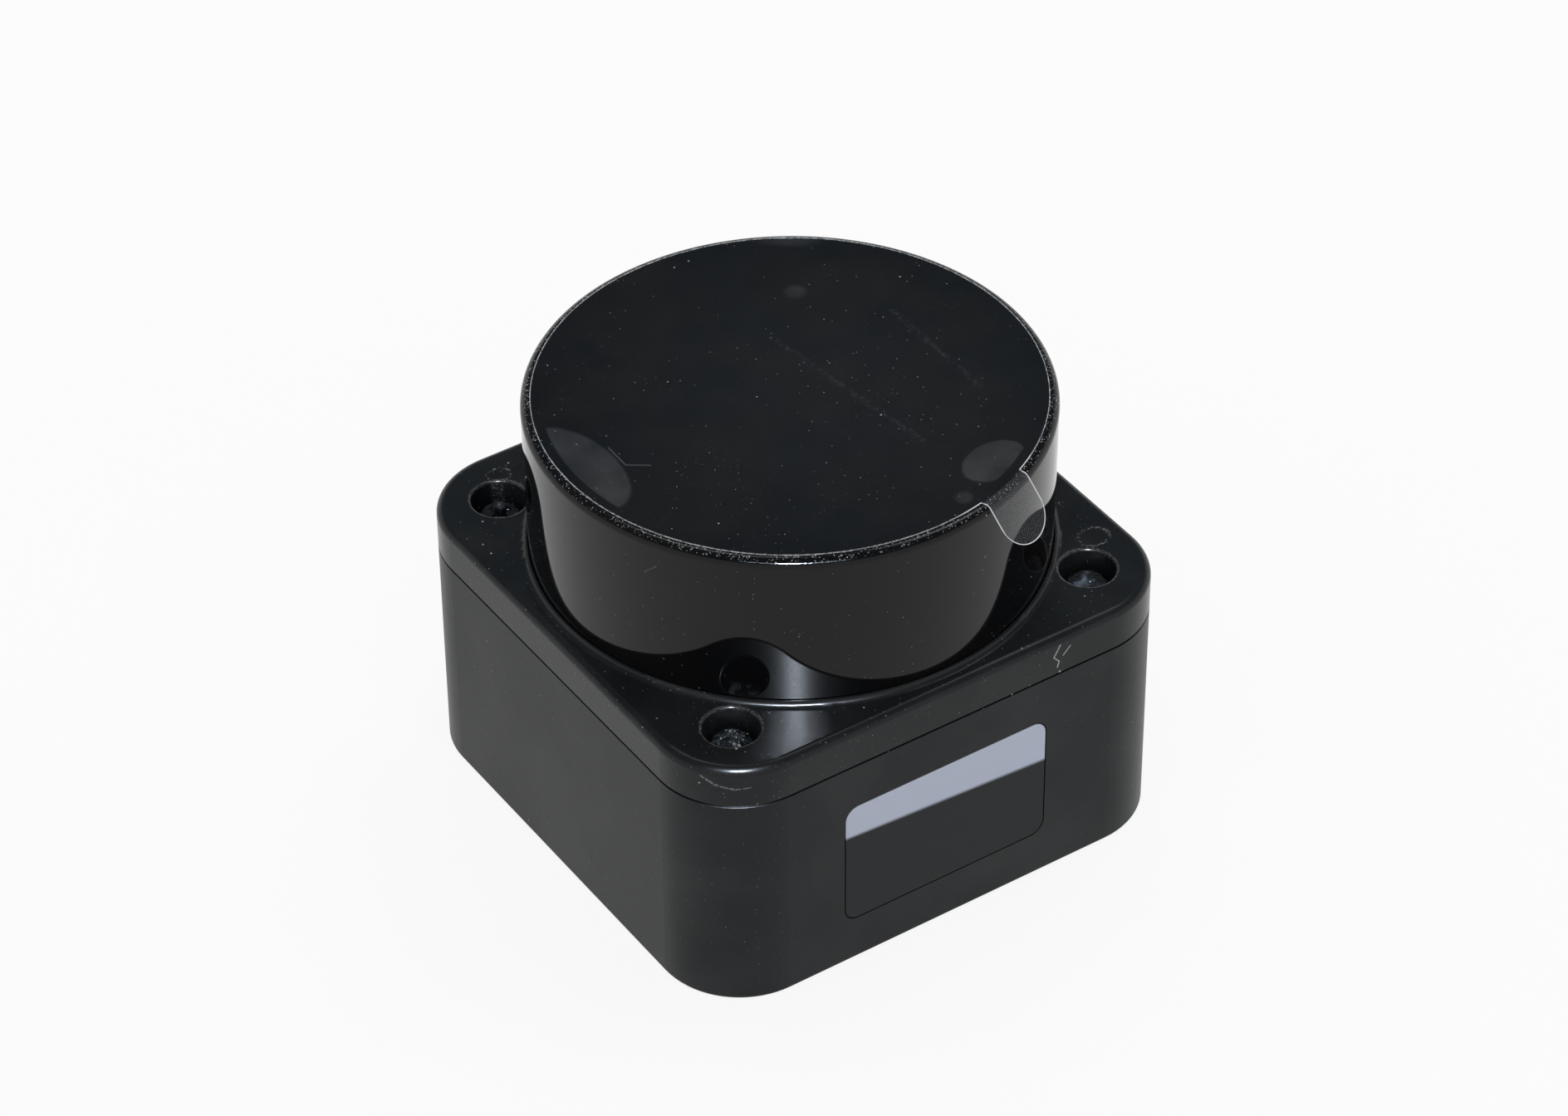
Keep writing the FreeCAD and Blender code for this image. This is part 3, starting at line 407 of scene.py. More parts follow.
windowLook = dict(
    ior=1.30, black=(0.0036, 0.0039, 0.0045), warm=(0.0060, 0.0052, 0.0050), cloudScale=0.06,
    rough=0.02, cloudRough=0.02, dust=(0.60, 0.61, 0.62), dustAmount=0.6, dustShare=0.75, dustRough=0.4,
    rimHeight=(49.9, 50.2), rimRadius=(26.9, 27.2), rimCell=0.25, rimSparkle=0.006,
    speckHeight=(50.62, 50.78), speckCell=0.20, speckShare=0.60, speckSize=0.22,
    scratchShare=0.3,
    scratches=(((-25.5, -11.5, 46.4), (-24.9, -12.8, 47.7), 0.12),
               ((-25.1, -12.3, 47.6), (-24.7, -13.2, 48.6), 0.09)),
    cluster=((-14.6, -23.9, 40.9), (2.0, 2.0, 1.1), 0.0, 0.5), clusterDust=14.0)


# Window: mirror gloss with dust, a scratch, a cluster of specks low on the wall and a grained rim whose pale
# specks are dust and a painted sparkle.
def windowPlastic(look):
    material, tree, shader = newFinish("windowPlastic", {"IOR": look["ior"]})
    place = millimetres(tree)
    z = split(tree, place)[2]
    cloud = noise(tree, place, look["cloudScale"], 2.0)
    rim = calc(tree, "MULTIPLY", softStep(tree, z, *look["rimHeight"]),
               softStep(tree, fromAxis(tree, place), *look["rimRadius"]))
    # Pale specks along the rim: dust, and a painted sparkle.
    rimDustAndSparkle = placed(tree, dustSpecks, place=place, cell=look["speckCell"], share=look["speckShare"],
                       size=look["speckSize"])["mask"]
    rimDustAndSparkle = calc(tree, "MULTIPLY", calc(tree, "MULTIPLY", rimDustAndSparkle, rim),
                     softStep(tree, z, *look["speckHeight"]))
    cluster = oval(tree, place, look["cluster"])
    amount = calc(tree, "MULTIPLY_ADD", cluster, look["clusterDust"], look["dustAmount"])
    specks = calc(tree, "MAXIMUM", dustFall(tree, place, amount), rimDustAndSparkle)
    scratches = calc(tree, "MULTIPLY", thinLines(tree, place, look["scratches"]), look["scratchShare"])
    marks = calc(tree, "MAXIMUM", calc(tree, "MULTIPLY", specks, look["dustShare"]), scratches)
    colour = mixColour(tree, softStep(tree, cloud, 0.4, 0.65), look["black"], look["warm"])
    tree.links.new(mixColour(tree, marks, colour, look["dust"]), shader.inputs["Base Color"])
    rough = calc(tree, "MULTIPLY_ADD", cloud, look["cloudRough"], look["rough"])
    tree.links.new(calc(tree, "MULTIPLY_ADD", specks, look["dustRough"], rough), shader.inputs["Roughness"])
    grain = placed(tree, fineGrain, place=place, cell=look["rimCell"])["height"]
    height = calc(tree, "MULTIPLY", calc(tree, "MULTIPLY", grain, rim), look["rimSparkle"])
    setBump(tree, shader, height, 1.0, 1.0)
    return material


filmLook = dict(
    ior=1.45, clear=(0.50, 0.53, 0.57), cut=(0.90, 0.92, 0.95), rough=0.08, patchRough=0.2,
    cloudScale=0.25, fineScale=2.5, veil=0.006, haze=0.055, patchRim=(26.0, 25.8),
    leftPatch=((-25.0, 1.4, 51.0), (3.9, 7.6, 99.0), 0.0, 0.05),
    rightPatch=((10.6, -21.6, 51.0), (3.9, 2.7, 99.0), -0.25, 0.06),
    spotShare=0.5,
    spots=(((4.6, -24.7, 51.0), (0.9, 0.9, 99.0), 0.0, 0.4),
           ((10.1, 13.9, 51.0), (1.1, 1.1, 99.0), 0.0, 0.4),
           ((15.0, 22.3, 51.0), (3.4, 1.3, 99.0), 0.6, 0.5)),
    sheenShare=0.006, sheen=((2.0, -4.0, 51.0), (19.0, 19.0, 99.0), 0.0, 0.8),
    smearShare=0.025,
    smears=(((16.7, 5.3, 51.0), (16.8, -10.5, 51.0), 0.6),
            ((3.6, 8.0, 51.0), (6.55, -14.5, 51.0), 0.6)),
    hairShare=0.10,
    hairs=(((-20.7, 2.6, 51.0), (-20.8, -0.8, 51.0), 0.16),
           ((-20.8, -0.8, 51.0), (-18.7, -2.3, 51.0), 0.16)),
    tabShare=0.03, tabRoot=(-0.1, 0.3), nearTab=((8.9, -25.8, 50.0), (6.5, 6.5, 99.0), 0.0, 0.3),
    edgeHighlightShare=0.85, edgeWidth=(0.13, 0.05), brokenHighlight=(0.35, 0.15),
    dustShare=0.28, dustAmount=(0.45, 0.15), dustRim=(23.0, 26.5),
    dustLeft=((-22.0, -6.0, 51.0), (9.0, 16.0, 99.0), -0.4, 0.6))


# Film: see-through but for haze, dust, a painted sheen in the middle and a painted highlight on its cut edge,
# which is bright round the tab and broken elsewhere.
def filmClear(look, film):
    material, tree, shader = newFinish("filmClear", {"IOR": look["ior"]})
    place = millimetres(tree)
    radius = fromAxis(tree, place)
    cloud = noise(tree, place, look["cloudScale"], 4.0)
    fine = noise(tree, place, look["fineScale"], 3.0)
    patches = calc(tree, "MAXIMUM", oval(tree, place, look["leftPatch"]),
                   oval(tree, place, look["rightPatch"]))
    patches = calc(tree, "MULTIPLY", patches, softStep(tree, radius, *look["patchRim"]))
    for spot in look["spots"]:
        faint = calc(tree, "MULTIPLY", oval(tree, place, spot), look["spotShare"])
        patches = calc(tree, "MAXIMUM", patches, faint)
    patches = calc(tree, "MULTIPLY", patches, cloud)
    smears = calc(tree, "MULTIPLY", thinLines(tree, place, look["smears"]), softStep(tree, fine, 0.42, 0.72))
    hairs = thinLines(tree, place, look["hairs"])
    onTab = softStep(tree, radius, *[film["radius"] + off for off in look["tabRoot"]])
    # Painted highlight: the cut edge is paler and less clear, strongest round the tab.
    toEdge = put(tree, "ShaderNodeAttribute", attribute_name="toEdge").outputs["Fac"]
    onEdge = softStep(tree, toEdge, *look["edgeWidth"])
    broken = calc(tree, "MULTIPLY_ADD", softStep(tree, fine, 0.35, 0.65), *look["brokenHighlight"])
    bright = calc(tree, "MAXIMUM", oval(tree, place, look["nearTab"]), broken)
    edge = calc(tree, "MULTIPLY", onEdge, bright)
    dusty = calc(tree, "MAXIMUM", oval(tree, place, look["dustLeft"]),
                 softStep(tree, radius, *look["dustRim"]))
    specks = dustFall(tree, place, calc(tree, "MULTIPLY_ADD", dusty, *look["dustAmount"]))
    alpha = calc(tree, "MULTIPLY_ADD", patches, look["haze"], calc(tree, "MULTIPLY", cloud, look["veil"]))
    # Painted sheen: a faint milky patch over the middle of the top.
    alpha = calc(tree, "MULTIPLY_ADD", oval(tree, place, look["sheen"]), look["sheenShare"], alpha)
    alpha = calc(tree, "MULTIPLY_ADD", smears, look["smearShare"], alpha)
    alpha = calc(tree, "MULTIPLY_ADD", hairs, look["hairShare"], alpha)
    alpha = calc(tree, "MULTIPLY_ADD", onTab, look["tabShare"], alpha)
    alpha = calc(tree, "MAXIMUM", alpha, calc(tree, "MULTIPLY", specks, look["dustShare"]))
    alpha = calc(tree, "MAXIMUM", alpha, calc(tree, "MULTIPLY", edge, look["edgeHighlightShare"]), clamp=True)
    tree.links.new(mixColour(tree, onEdge, look["clear"], look["cut"]), shader.inputs["Base Color"])
    rough = calc(tree, "MULTIPLY_ADD", patches, look["patchRough"], look["rough"])
    tree.links.new(rough, shader.inputs["Roughness"])
    tree.links.new(alpha, shader.inputs["Alpha"])
    return material


labelLook = dict(
    ior=1.25, band=(0.50, 0.545, 0.66), black=(0.010, 0.0115, 0.0125), bandFoot=16.66, bandBlur=0.3,
    tilt=-0.063, grainCell=0.5, grainShare=0.2, grainDepth=0.01, rough=0.34, grainRough=0.08,
    dust=(0.34, 0.35, 0.36), dustAmount=0.2, dustShare=0.4)


# Label: a pale band over a black field, with a soft slanted border between them.
def labelPrint(look):
    material, tree, shader = newFinish("labelPrint", {"IOR": look["ior"]})
    place = millimetres(tree)
    level = vectorCalc(tree, "DOT_PRODUCT", place, (-look["tilt"], 0.0, 1.0))
    band = softStep(tree, level, look["bandFoot"] - look["bandBlur"], look["bandFoot"] + look["bandBlur"])
    grain = placed(tree, fineGrain, place=place, cell=look["grainCell"])["height"]
    specks = calc(tree, "MULTIPLY", dustFall(tree, place, look["dustAmount"]), look["dustShare"])
    colour = mixColour(tree, band, look["black"], look["band"])
    tree.links.new(mixColour(tree, specks, colour, look["dust"]), shader.inputs["Base Color"])
    rough = calc(tree, "MULTIPLY_ADD", grain, look["grainRough"], look["rough"])
    tree.links.new(rough, shader.inputs["Roughness"])
    setBump(tree, shader, grain, look["grainShare"], look["grainDepth"])
    return material


screwLook = dict(black=(0.07, 0.072, 0.075), paler=(0.60, 0.61, 0.62), glintWhite=(0.95, 0.96, 0.98), frontScrewEnd=-30.0,
                 grainCell=0.36, grainDepth=0.16, rough=0.08, grainRough=0.06,
                 glintCell=0.50, glintShare=0.60, glintSize=0.60)


# Screws: blackened and rough. The front one, at the corner where x + y is least, gets painted glints: pale
# grain and white specks.
def screwBlack(look):
    material, tree, shader = newFinish("screwBlack")
    place = millimetres(tree)
    grain = placed(tree, fineGrain, place=place, cell=look["grainCell"])["height"]
    corner = vectorCalc(tree, "DOT_PRODUCT", place, (1.0, 1.0, 0.0))
    # Painted glints on the front screw: pale grain and white unmetallic specks.
    frontScrew = calc(tree, "LESS_THAN", corner, look["frontScrewEnd"])
    paler = calc(tree, "MULTIPLY", softStep(tree, grain, 0.72, 0.98), frontScrew)
    glints = placed(tree, dustSpecks, place=place, cell=look["glintCell"], share=look["glintShare"],
                   size=look["glintSize"])["mask"]
    glints = calc(tree, "MULTIPLY", glints, frontScrew)
    colour = mixColour(tree, paler, look["black"], look["paler"])
    tree.links.new(mixColour(tree, glints, colour, look["glintWhite"]), shader.inputs["Base Color"])
    tree.links.new(calc(tree, "SUBTRACT", 1.0, glints), shader.inputs["Metallic"])
    rough = calc(tree, "MULTIPLY_ADD", grain, look["grainRough"], look["rough"])
    tree.links.new(rough, shader.inputs["Roughness"])
    setBump(tree, shader, grain, 1.0, look["grainDepth"])
    return material


boardLook = dict(
    ior=1.5, lacquer=(0.006, 0.060, 0.026), copper=(0.016, 0.115, 0.050), pad=(0.62, 0.48, 0.18),
    lineScale=0.55, lineWidth=0.035, lineLength=1.1, lineShare=0.4, lineDepth=0.03,
    padCell=2.2, padShare=0.5, padSize=1.0, padMetal=0.9, grainCell=0.8, grainRough=0.1, rough=0.25)


# Circuit board: solder lacquer with fine copper lines showing through and small bare pads.
def boardGreen(look):
    material, tree, shader = newFinish("boardGreen", {"IOR": look["ior"]})
    place = millimetres(tree)
    lines = put(tree, "ShaderNodeTexBrick", {
        "Vector": place, "Scale": look["lineScale"], "Mortar Size": look["lineWidth"],
        "Brick Width": look["lineLength"]}).outputs["Fac"]
    pads = placed(tree, dustSpecks, place=place, cell=look["padCell"], share=look["padShare"],
                  size=look["padSize"])["mask"]
    colour = mixColour(tree, lines, look["lacquer"], look["copper"])
    tree.links.new(mixColour(tree, pads, colour, look["pad"]), shader.inputs["Base Color"])
    tree.links.new(calc(tree, "MULTIPLY", pads, look["padMetal"]), shader.inputs["Metallic"])
    grain = placed(tree, fineGrain, place=place, cell=look["grainCell"])["height"]
    rough = calc(tree, "MULTIPLY_ADD", grain, look["grainRough"], look["rough"])
    tree.links.new(rough, shader.inputs["Roughness"])
    setBump(tree, shader, lines, look["lineShare"], look["lineDepth"])
    return material


windingLook = dict(wire=0.3, groove=(0.25, 0.09, 0.035), crown=(0.72, 0.33, 0.15), rough=0.40,
                   crownRough=-0.12, bumpShare=0.6, bumpDepth=0.08)


# Windings: wires side by side, as bands over the radius and the height, with painted shade in the grooves
# between them.
def windingCopper(look):
    material, tree, shader = newFinish("windingCopper", {"Metallic": 1.0})
    place = millimetres(tree)
    along = calc(tree, "ADD", fromAxis(tree, place), split(tree, place)[2])
    wires = calc(tree, "SINE", calc(tree, "MULTIPLY", along, 2 * pi / look["wire"]))
    # Painted shade: the grooves between the wires are a darker copper.
    crown = softStep(tree, wires, -1.0, 0.6)
    tree.links.new(mixColour(tree, crown, look["groove"], look["crown"]), shader.inputs["Base Color"])
    rough = calc(tree, "MULTIPLY_ADD", crown, look["crownRough"], look["rough"])
    tree.links.new(rough, shader.inputs["Roughness"])
    setBump(tree, shader, crown, look["bumpShare"], look["bumpDepth"])
    return material


# The film's finish reads its radius too.
filmShape = dict(radius=27.05, low=51.02, high=51.1, seat=51.0, tabWidth=6.7, turn=-71.0, overhang=0.3,
                 bendRadius=0.6, bend=52.8, drop=5.75, tipRound=3.25, rimSteps=300, sideSteps=22, tipSteps=12)

finishes = {
    "base_plastic": basePlastic(baseLook),
    "cover_plastic": coverPlastic(coverLook),
    "window_plastic": windowPlastic(windowLook),
    "film_clear": filmClear(filmLook, filmShape),
    "label_print": labelPrint(labelLook),
    "screw_black": screwBlack(screwLook),
    "board_green": boardGreen(boardLook),
    "winding_copper": windingCopper(windingLook),
    "gasket_rubber": innerFinish("gasketRubber", (0.012, 0.012, 0.012), (0.028, 0.028, 0.028), 0.6),
    "chip_black": innerFinish("chipBlack", (0.014, 0.014, 0.015), (0.030, 0.030, 0.032), 0.45, cell=0.3),
    "socket_cream": innerFinish("socketCream", (0.62, 0.58, 0.48), (0.74, 0.70, 0.60), 0.40, cell=0.8),
    "pin_gold": innerFinish("pinGold", (0.72, 0.52, 0.20), (0.86, 0.66, 0.30), 0.22, metal=1.0, cell=0.4),
    "plate_aluminium": innerFinish("plateAluminium", (0.58, 0.59, 0.60), (0.74, 0.75, 0.76), 0.30, metal=1.0,
                                   cell=0.5, stretch=(0.12, 2.0, 1.0)),
    "bush_bronze": innerFinish("bushBronze", (0.42, 0.25, 0.10), (0.58, 0.36, 0.16), 0.35, metal=1.0,
                               cell=0.3),
    "steel_bright": innerFinish("steelBright", (0.50, 0.51, 0.52), (0.68, 0.69, 0.70), 0.22, metal=1.0,
                                cell=0.4),
    "core_iron": innerFinish("coreIron", (0.20, 0.20, 0.21), (0.34, 0.34, 0.35), 0.40, metal=1.0,
                             cell=0.4, stretch=(0.3, 0.3, 4.0)),
    "ferrite_grey": innerFinish("ferriteGrey", (0.045, 0.045, 0.048), (0.085, 0.085, 0.088), 0.6, cell=0.5),
    "magnet_grey": innerFinish("magnetGrey", (0.07, 0.07, 0.075), (0.12, 0.12, 0.125), 0.45, metal=0.6,
                               cell=0.6),
    "lens_clear": innerFinish("lensClear", (0.72, 0.76, 0.82), (0.82, 0.85, 0.90), 0.05, cell=2.0,
                              depth=0.001),
    "frame_black": innerFinish("frameBlack", (0.010, 0.010, 0.011), (0.022, 0.022, 0.024), 0.5, cell=0.4),
    "weight_brass": innerFinish("weightBrass", (0.58, 0.42, 0.16), (0.74, 0.56, 0.26), 0.28, metal=1.0,
                                cell=0.5, stretch=(0.4, 0.4, 3.0))}

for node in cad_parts.values():
    for held in node.material_slots:
        held.material = finishes[held.material.name]
print("finishes set on", len(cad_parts), "nodes")


windowShape = dict(foot=30.0, top=51.0, footRadius=27.85, topRadius=28.1, edge=1.0, wall=1.8, roof=2.0,
                   spigotRadius=24.15, spigotFoot=28.4, throat=23.05, footThick=1.5,
                   roofRound=0.6, heelRound=0.3, spigotRound=0.2, footRound=0.15, steps=320)


# Window cup: its outline runs from the roof's underside out and down the inner wall, round the
# spigot and foot, and up the outer wall that widens to the rounded rim, then in over the top.
def makeWindow(cup):
    slope = (cup["topRadius"] - cup["footRadius"]) / (cup["top"] - cup["foot"])
    roofLow = cup["top"] - cup["roof"]
    footTop = cup["foot"] + cup["footThick"]
    innerHigh = cup["footRadius"] + slope * (roofLow - cup["foot"]) - cup["wall"]
    innerLow = cup["footRadius"] + slope * cup["footThick"] - cup["wall"]
    outline = roundedOutline([
        (0, roofLow, 0),
        (innerHigh, roofLow, cup["roofRound"]),
        (innerLow, footTop, cup["heelRound"]),
        (cup["throat"], footTop, cup["spigotRound"]),
        (cup["throat"], cup["spigotFoot"], cup["spigotRound"]),
        (cup["spigotRadius"], cup["spigotFoot"], cup["spigotRound"]),
        (cup["spigotRadius"], cup["foot"], 0),
        (cup["footRadius"], cup["foot"], cup["footRound"]),
        (cup["topRadius"], cup["top"], cup["edge"]),
        (0, cup["top"], 0)])
    points = turnedSurface(outline, cup["steps"])
    faces = gridFaces(len(outline), cup["steps"])
    piece = makePiece("windowShell", points, faces, finishes["window_plastic"])
    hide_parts("optical_window")


makeWindow(windowShape)
print("window made")


# Film: a flat outline (disc plus tongue) is filled by scaling it from its centre, then the tongue
# is bent: past the bend line a point goes round a cylinder, and then straight on down.
def makeFilm(film):
    halfWidth = film["tabWidth"] / 2
    bendArc = radians(film["bend"])
    bendLine = film["radius"] + film["overhang"]
    tip = bendLine + film["bendRadius"] * bendArc + film["drop"]
    rootAngle = np.arcsin(halfWidth / film["radius"])
    around = np.linspace(rootAngle, 2 * pi - rootAngle, film["rimSteps"])
    arc = film["radius"] * np.stack([np.cos(around), np.sin(around)], axis=-1)
    sideRun = np.linspace(arc[-1, 0], tip - film["tipRound"], film["sideSteps"])[1:]
    side = np.stack([sideRun, -halfWidth + 0 * sideRun], axis=-1)
    nose = np.linspace(-pi / 2, 0, film["tipSteps"])
    noseCentre = [tip - film["tipRound"], film["tipRound"] - halfWidth]
    quarter = film["tipRound"] * np.stack([np.cos(nose), np.sin(nose)], axis=-1) + noseCentre
    lowSide = np.concatenate([side, quarter[1:]])
    outline = np.concatenate([arc, lowSide, lowSide[::-1] * [1, -1]])
    coarse = np.linspace(0, 0.7, 8)
    fine = np.linspace(0.7, 0.985, 26)[1:]
    grow = np.concatenate([coarse, fine, [0.992, 0.996, 0.999, 1.0]])
    flat = grow[:, None, None] * outline[None, :, :]
    sheet = np.concatenate([flat, flat[::-1]])
    under = np.zeros(flat.shape[:2])
    lift = np.concatenate([under, under + film["high"] - film["low"]])
    past = np.clip(sheet[..., 0] - bendLine, 0, None)
    turn = np.clip(past / film["bendRadius"], 0, bendArc)
    onward = np.clip(past - film["bendRadius"] * bendArc, 0, None)
    reach = film["bendRadius"] + film["low"] - film["seat"] + lift
    out = np.minimum(sheet[..., 0], bendLine) + reach * np.sin(turn) + onward * cos(bendArc)
    height = film["seat"] - film["bendRadius"] + reach * np.cos(turn) - onward * sin(bendArc)
    spin = radians(film["turn"])
    across = sheet[..., 1]
    x = out * cos(spin) - across * sin(spin)
    y = out * sin(spin) + across * cos(spin)
    points = np.stack([x, y, height], axis=-1)
    inwards = np.concatenate([grow, grow[::-1]])[:, None] + 0 * across
    away = (1 - inwards) * np.linalg.norm(outline, axis=-1)[None, :]
    tabSide = np.abs(halfWidth - np.abs(across))
    away = np.where(sheet[..., 0] > film["radius"], np.minimum(tabSide, away), away)
    faces = gridFaces(points.shape[0], points.shape[1])
    piece = makePiece("filmSheet", points, faces, finishes["film_clear"])
    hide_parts("protective_film")
    return piece, points, away


# The film's distance to its own edge is kept on the mesh, found again by each vertex's place.
def keepEdge(piece, points, away):
    found = np.empty(len(piece.data.vertices) * 3)
    piece.data.vertices.foreach_get("co", found)
    micrometres = np.round(points.reshape(-1, 3) * 1000).astype(int).tolist()
    keys = {tuple(k): v for k, v in zip(micrometres, away.ravel().tolist())}
    asked = np.round(found.reshape(-1, 3) * 1000 / mm).astype(int).tolist()
    values = [keys.get(tuple(k), 1.0) for k in asked]
    layer = piece.data.attributes.new("toEdge", "FLOAT", "POINT")
    layer.data.foreach_set("value", values)


keepEdge(*makeFilm(filmShape))
print("film made")


screwShape = dict(axis=22.5, seat=28.4, headRadius=2.45, headHeight=1.6, edge=0.6, crown=0.06,
                  crossLength=2.9, crossWidth=0.8, crossDepth=1.0, slant=0.12, endSlant=0.15, hold=0.05,
                  shankRadius=1.25, shankLength=12.0, turns=(24.0, 68.0, 41.0, 10.0))


# Screw head: a square grid that turns into a disc towards its rim, with the height of a pan head
# less a cross whose four arms have slanted walls. Rings below it make the side, seat and shank.
def screwPoints(screw, corner, turn):
    half = screw["headRadius"]
    wing = screw["crossWidth"] / 2
    arm = screw["crossLength"] / 2
    slant, endSlant, hold = screw["slant"], screw["endSlant"], screw["hold"]
    core = [0, wing - slant, wing, wing + hold, arm - endSlant, arm, arm + hold]
    steps = np.concatenate([core, np.linspace(arm + endSlant, half, 9)])
    ticks = np.concatenate([-steps[:0:-1], steps])
    x, y = np.meshgrid(ticks, ticks, indexing="ij")
    square = np.maximum(np.abs(x), np.abs(y))
    length = np.maximum(np.hypot(x, y), 1e-9)
    bend = np.clip((square - arm) / (half - arm), 0, 1)
    scale = 1 + (square / length - 1) * bend
    x, y = x * scale, y * scale
    radius = np.hypot(x, y)
    over = np.clip(radius - (half - screw["edge"]), 0, screw["edge"])
    top = screw["headHeight"] - screw["edge"] + np.sqrt(np.clip(screw["edge"] ** 2 - over ** 2, 0, None))
    top = top - screw["crown"] * (radius / half) ** 2
    armX = np.clip((wing - np.abs(y)) / slant, 0, 1) * np.clip((arm - np.abs(x)) / endSlant, 0, 1)
    armY = np.clip((wing - np.abs(x)) / slant, 0, 1) * np.clip((arm - np.abs(y)) / endSlant, 0, 1)
    top = top - screw["crossDepth"] * np.maximum(armX, armY)
    grid = np.stack([x, y, top], axis=-1)
    count = len(ticks)
    row, column = np.meshgrid(np.arange(count - 1), np.arange(count - 1), indexing="ij")
    first = row * count + column
    faces = np.stack([first, first + count, first + count + 1, first + 1], axis=-1).reshape(-1, 4)
    rim = np.concatenate([grid[:-1, 0], grid[-1, :-1], grid[:0:-1, -1], grid[0, :0:-1]])
    seat = rim * [1, 1, 0]
    shank = seat * screw["shankRadius"] / half
    tip = [0, 0, -screw["shankLength"]]
    below = np.stack([rim, seat, shank, shank + tip, rim * 0 + tip])
    faces = np.concatenate([faces, gridFaces(len(below), len(rim), count * count)])
    points = np.concatenate([grid.reshape(-1, 3), below.reshape(-1, 3)])
    spin = radians(turn)
    turned = points @ np.array([[cos(spin), sin(spin), 0], [-sin(spin), cos(spin), 0], [0, 0, 1]])
    return turned + [corner[0] * screw["axis"], corner[1] * screw["axis"], screw["seat"]], faces


def makeScrews(screw):
    corners = [(-1, -1), (1, -1), (1, 1), (-1, 1)]
    made = [screwPoints(screw, corner, turn) for corner, turn in zip(corners, screw["turns"])]
    count = len(made[0][0])
    points = np.concatenate([p for p, f in made])
    faces = np.concatenate([f + count * k for k, (p, f) in enumerate(made)])
    piece = makePiece("screwSet", points, faces, finishes["screw_black"], crease=28.0)
    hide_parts("cover_screws")


makeScrews(screwShape)
print("screws made")


viewCamera = dict(place=(-246.748, -369.266, 393.015), aim=(1.306, 3.323, 25.672), roll=-0.511,
                  lens=123.75, sensor=36.0, clipStart=10.0)


def setCamera(view):
    data = bpy.data.cameras.new("viewCamera")
    data.lens = view["lens"]
    data.sensor_width = view["sensor"]
    data.clip_start = view["clipStart"] * mm
    place = Vector(view["place"]) * mm
    ahead = (Vector(view["aim"]) * mm - place).normalized()
    level = ahead.cross(Vector((0, 0, 1))).normalized()
    over = level.cross(ahead)
    roll = radians(view["roll"])
    right = level * cos(roll) + over * sin(roll)
    up = over * cos(roll) - level * sin(roll)
    camera = bpy.data.objects.new("viewCamera", data)
    camera.matrix_world = Matrix.Translation(place) @ Matrix((right, up, -ahead)).transposed().to_4x4()
    scene.collection.objects.link(camera)
    scene.camera = camera


setCamera(viewCamera)


# Lamps: place, aim and size in mm, and the brightness that their face shows.
lamps = dict(
    frontStrip=dict(place=(-234, -378, 398), aim=(0, 0, 34), size=(330, 40), bright=22.0,
                    tint=(0.86, 0.96, 1.10), glossOnly=True),
    flashLamp=dict(place=(-238, -376, 396), aim=(0, 0, 34), size=(30, 30), bright=6000.0,
                   tint=(0.86, 0.96, 1.10), glossOnly=True),
    topBox=dict(place=(300, 40, 640), aim=(0, 0, 40), size=(260, 200), bright=3.0,
                tint=(1.0, 1.0, 1.0), glossOnly=False),
    backBox=dict(place=(60, 300, 700), aim=(0, 0, 40), size=(260, 160), bright=3.0,
                 tint=(1.0, 1.0, 1.0), glossOnly=False))


def setLamp(name, lamp):
    data = bpy.data.lights.new(name, "AREA")
    data.shape = "RECTANGLE"
    data.size, data.size_y = lamp["size"][0] * mm, lamp["size"][1] * mm
    data.energy = lamp["bright"] * pi * data.size * data.size_y
    data.color = lamp["tint"]
    place = Vector(lamp["place"]) * mm
    ahead = Vector(lamp["aim"]) * mm - place
    thing = bpy.data.objects.new(name, data)
    thing.matrix_world = Matrix.Translation(place) @ ahead.to_track_quat("-Z", "Y").to_matrix().to_4x4()
    thing.visible_camera = False
    thing.visible_diffuse = not lamp["glossOnly"]
    scene.collection.objects.link(thing)


for name, lamp in lamps.items():
    setLamp(name, lamp)


# 1 for rays from the camera, off gloss and through clear film, and 0 for those that light matt surfaces.
def seenRays(tree):
    ray = put(tree, "ShaderNodeLightPath").outputs
    mirrored = calc(tree, "ADD", ray["Is Glossy Ray"], ray["Is Transmission Ray"])
    return calc(tree, "ADD", ray["Is Camera Ray"], mirrored, clamp=True)


sky = dict(low=(1.0, 1.0, 1.0), high=(0.130, 0.175, 0.210), rise=0.24, fade=0.48, ambient=(0.70, 0.70, 0.70))


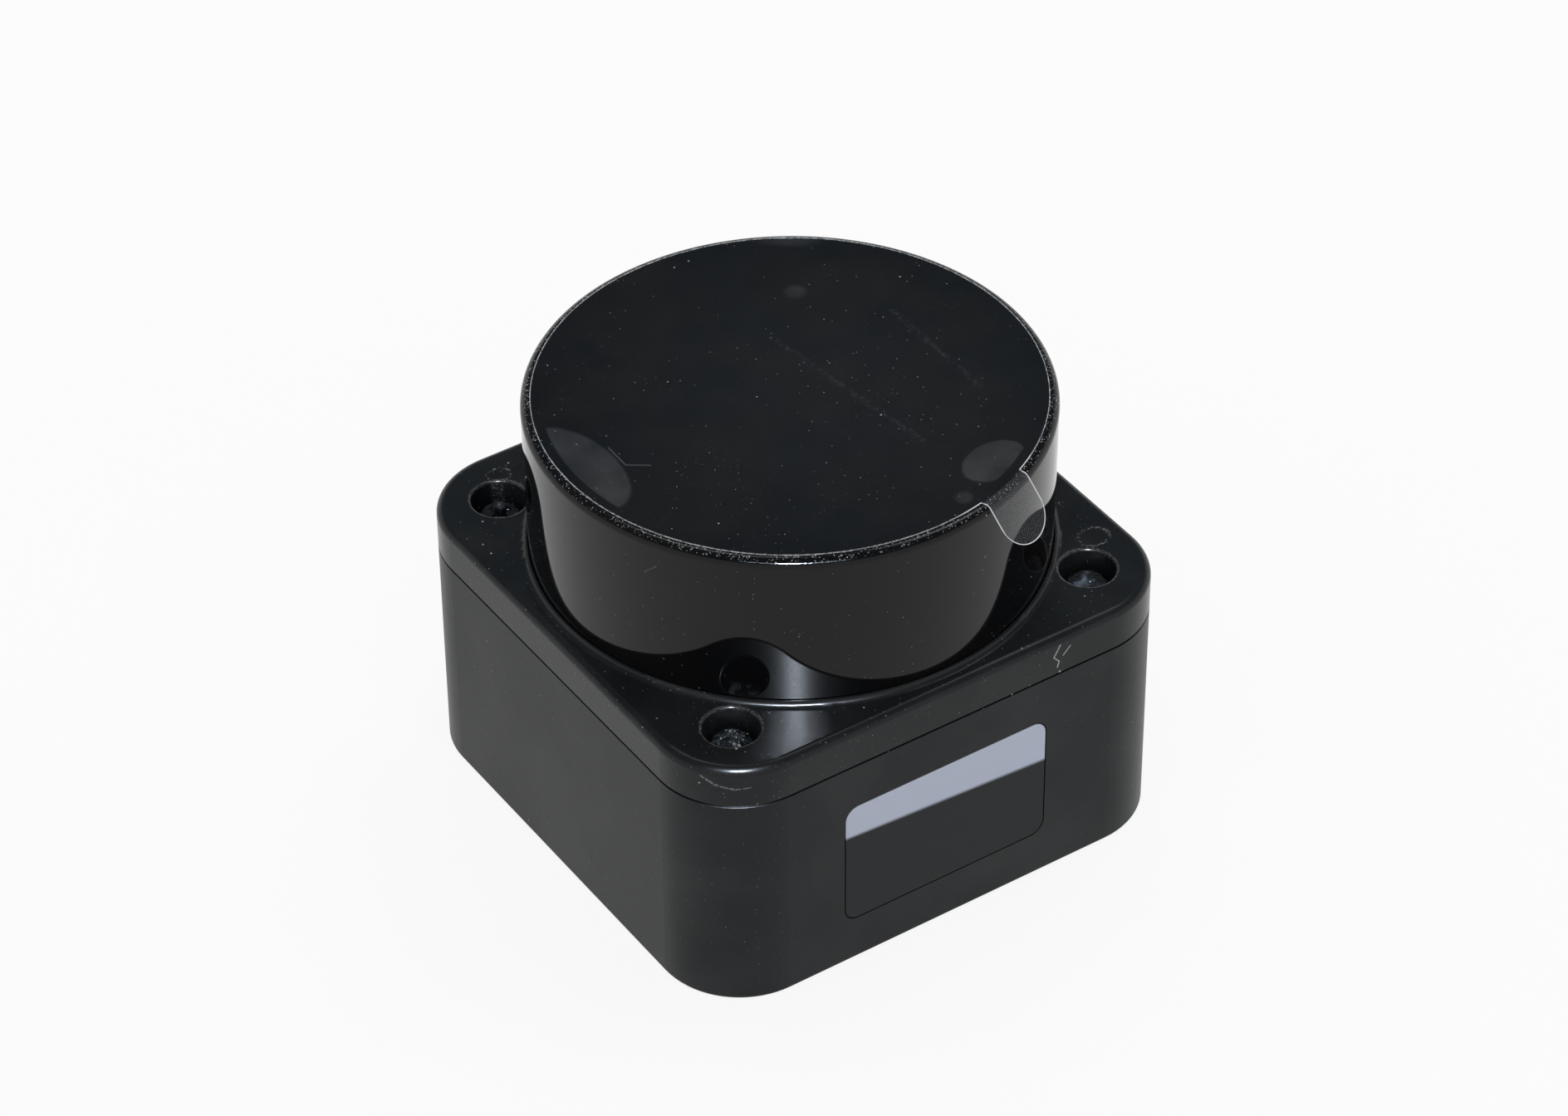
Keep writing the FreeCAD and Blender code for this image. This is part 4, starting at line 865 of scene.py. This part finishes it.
# Sky: white near the horizon and dim overhead where it is seen, and even where it lights matt surfaces.
def setSky(look):
    world = bpy.data.worlds.new("studioSky")
    scene.world = world
    world.use_nodes = True
    tree = world.node_tree
    tree.nodes.clear()
    up = split(tree, put(tree, "ShaderNodeTexCoord").outputs["Generated"])[2]
    tone = mixColour(tree, softStep(tree, up, look["rise"], look["fade"]), look["low"], look["high"])
    light = put(tree, "ShaderNodeBackground", {0: mixColour(tree, seenRays(tree), look["ambient"], tone)})
    put(tree, "ShaderNodeOutputWorld", {0: light.outputs[0]})


setSky(sky)


floorLook = dict(reach=3000.0, drop=0.02, white=(0.90, 0.90, 0.90), glow=(1.0, 1.0, 1.0), shade=0.12)


# Floor: pale and the same to the camera, to gloss and to clear film, and matt where it is lit.
# It is clear from below, to show the underside.
def makeFloor(look):
    corner = np.array([[-1, -1, 0], [1, -1, 0], [1, 1, 0], [-1, 1, 0]]) * look["reach"] * mm
    corner[:, 2] = -look["drop"] * mm
    mesh = bpy.data.meshes.new("floor")
    mesh.from_pydata(corner.tolist(), [], [[0, 1, 2, 3]])
    material = bpy.data.materials.new("floorPale")
    material.use_nodes = True
    tree = material.node_tree
    tree.nodes.clear()
    matt = put(tree, "ShaderNodeBsdfDiffuse", {0: look["white"] + (1.0,)}).outputs[0]
    glow = put(tree, "ShaderNodeEmission", {0: look["glow"] + (1.0,)}).outputs[0]
    pale = put(tree, "ShaderNodeMixShader", {0: look["shade"], 1: glow, 2: matt}).outputs[0]
    whole = put(tree, "ShaderNodeMixShader", {0: seenRays(tree), 1: matt, 2: pale}).outputs[0]
    below = put(tree, "ShaderNodeNewGeometry").outputs["Backfacing"]
    clear = put(tree, "ShaderNodeBsdfTransparent").outputs[0]
    both = put(tree, "ShaderNodeMixShader", {0: below, 1: whole, 2: clear}).outputs[0]
    put(tree, "ShaderNodeOutputMaterial", {0: both})
    mesh.materials.append(material)
    floor = bpy.data.objects.new("floor", mesh)
    scene.collection.objects.link(floor)


makeFloor(floorLook)
print("camera, lamps, sky and floor set")
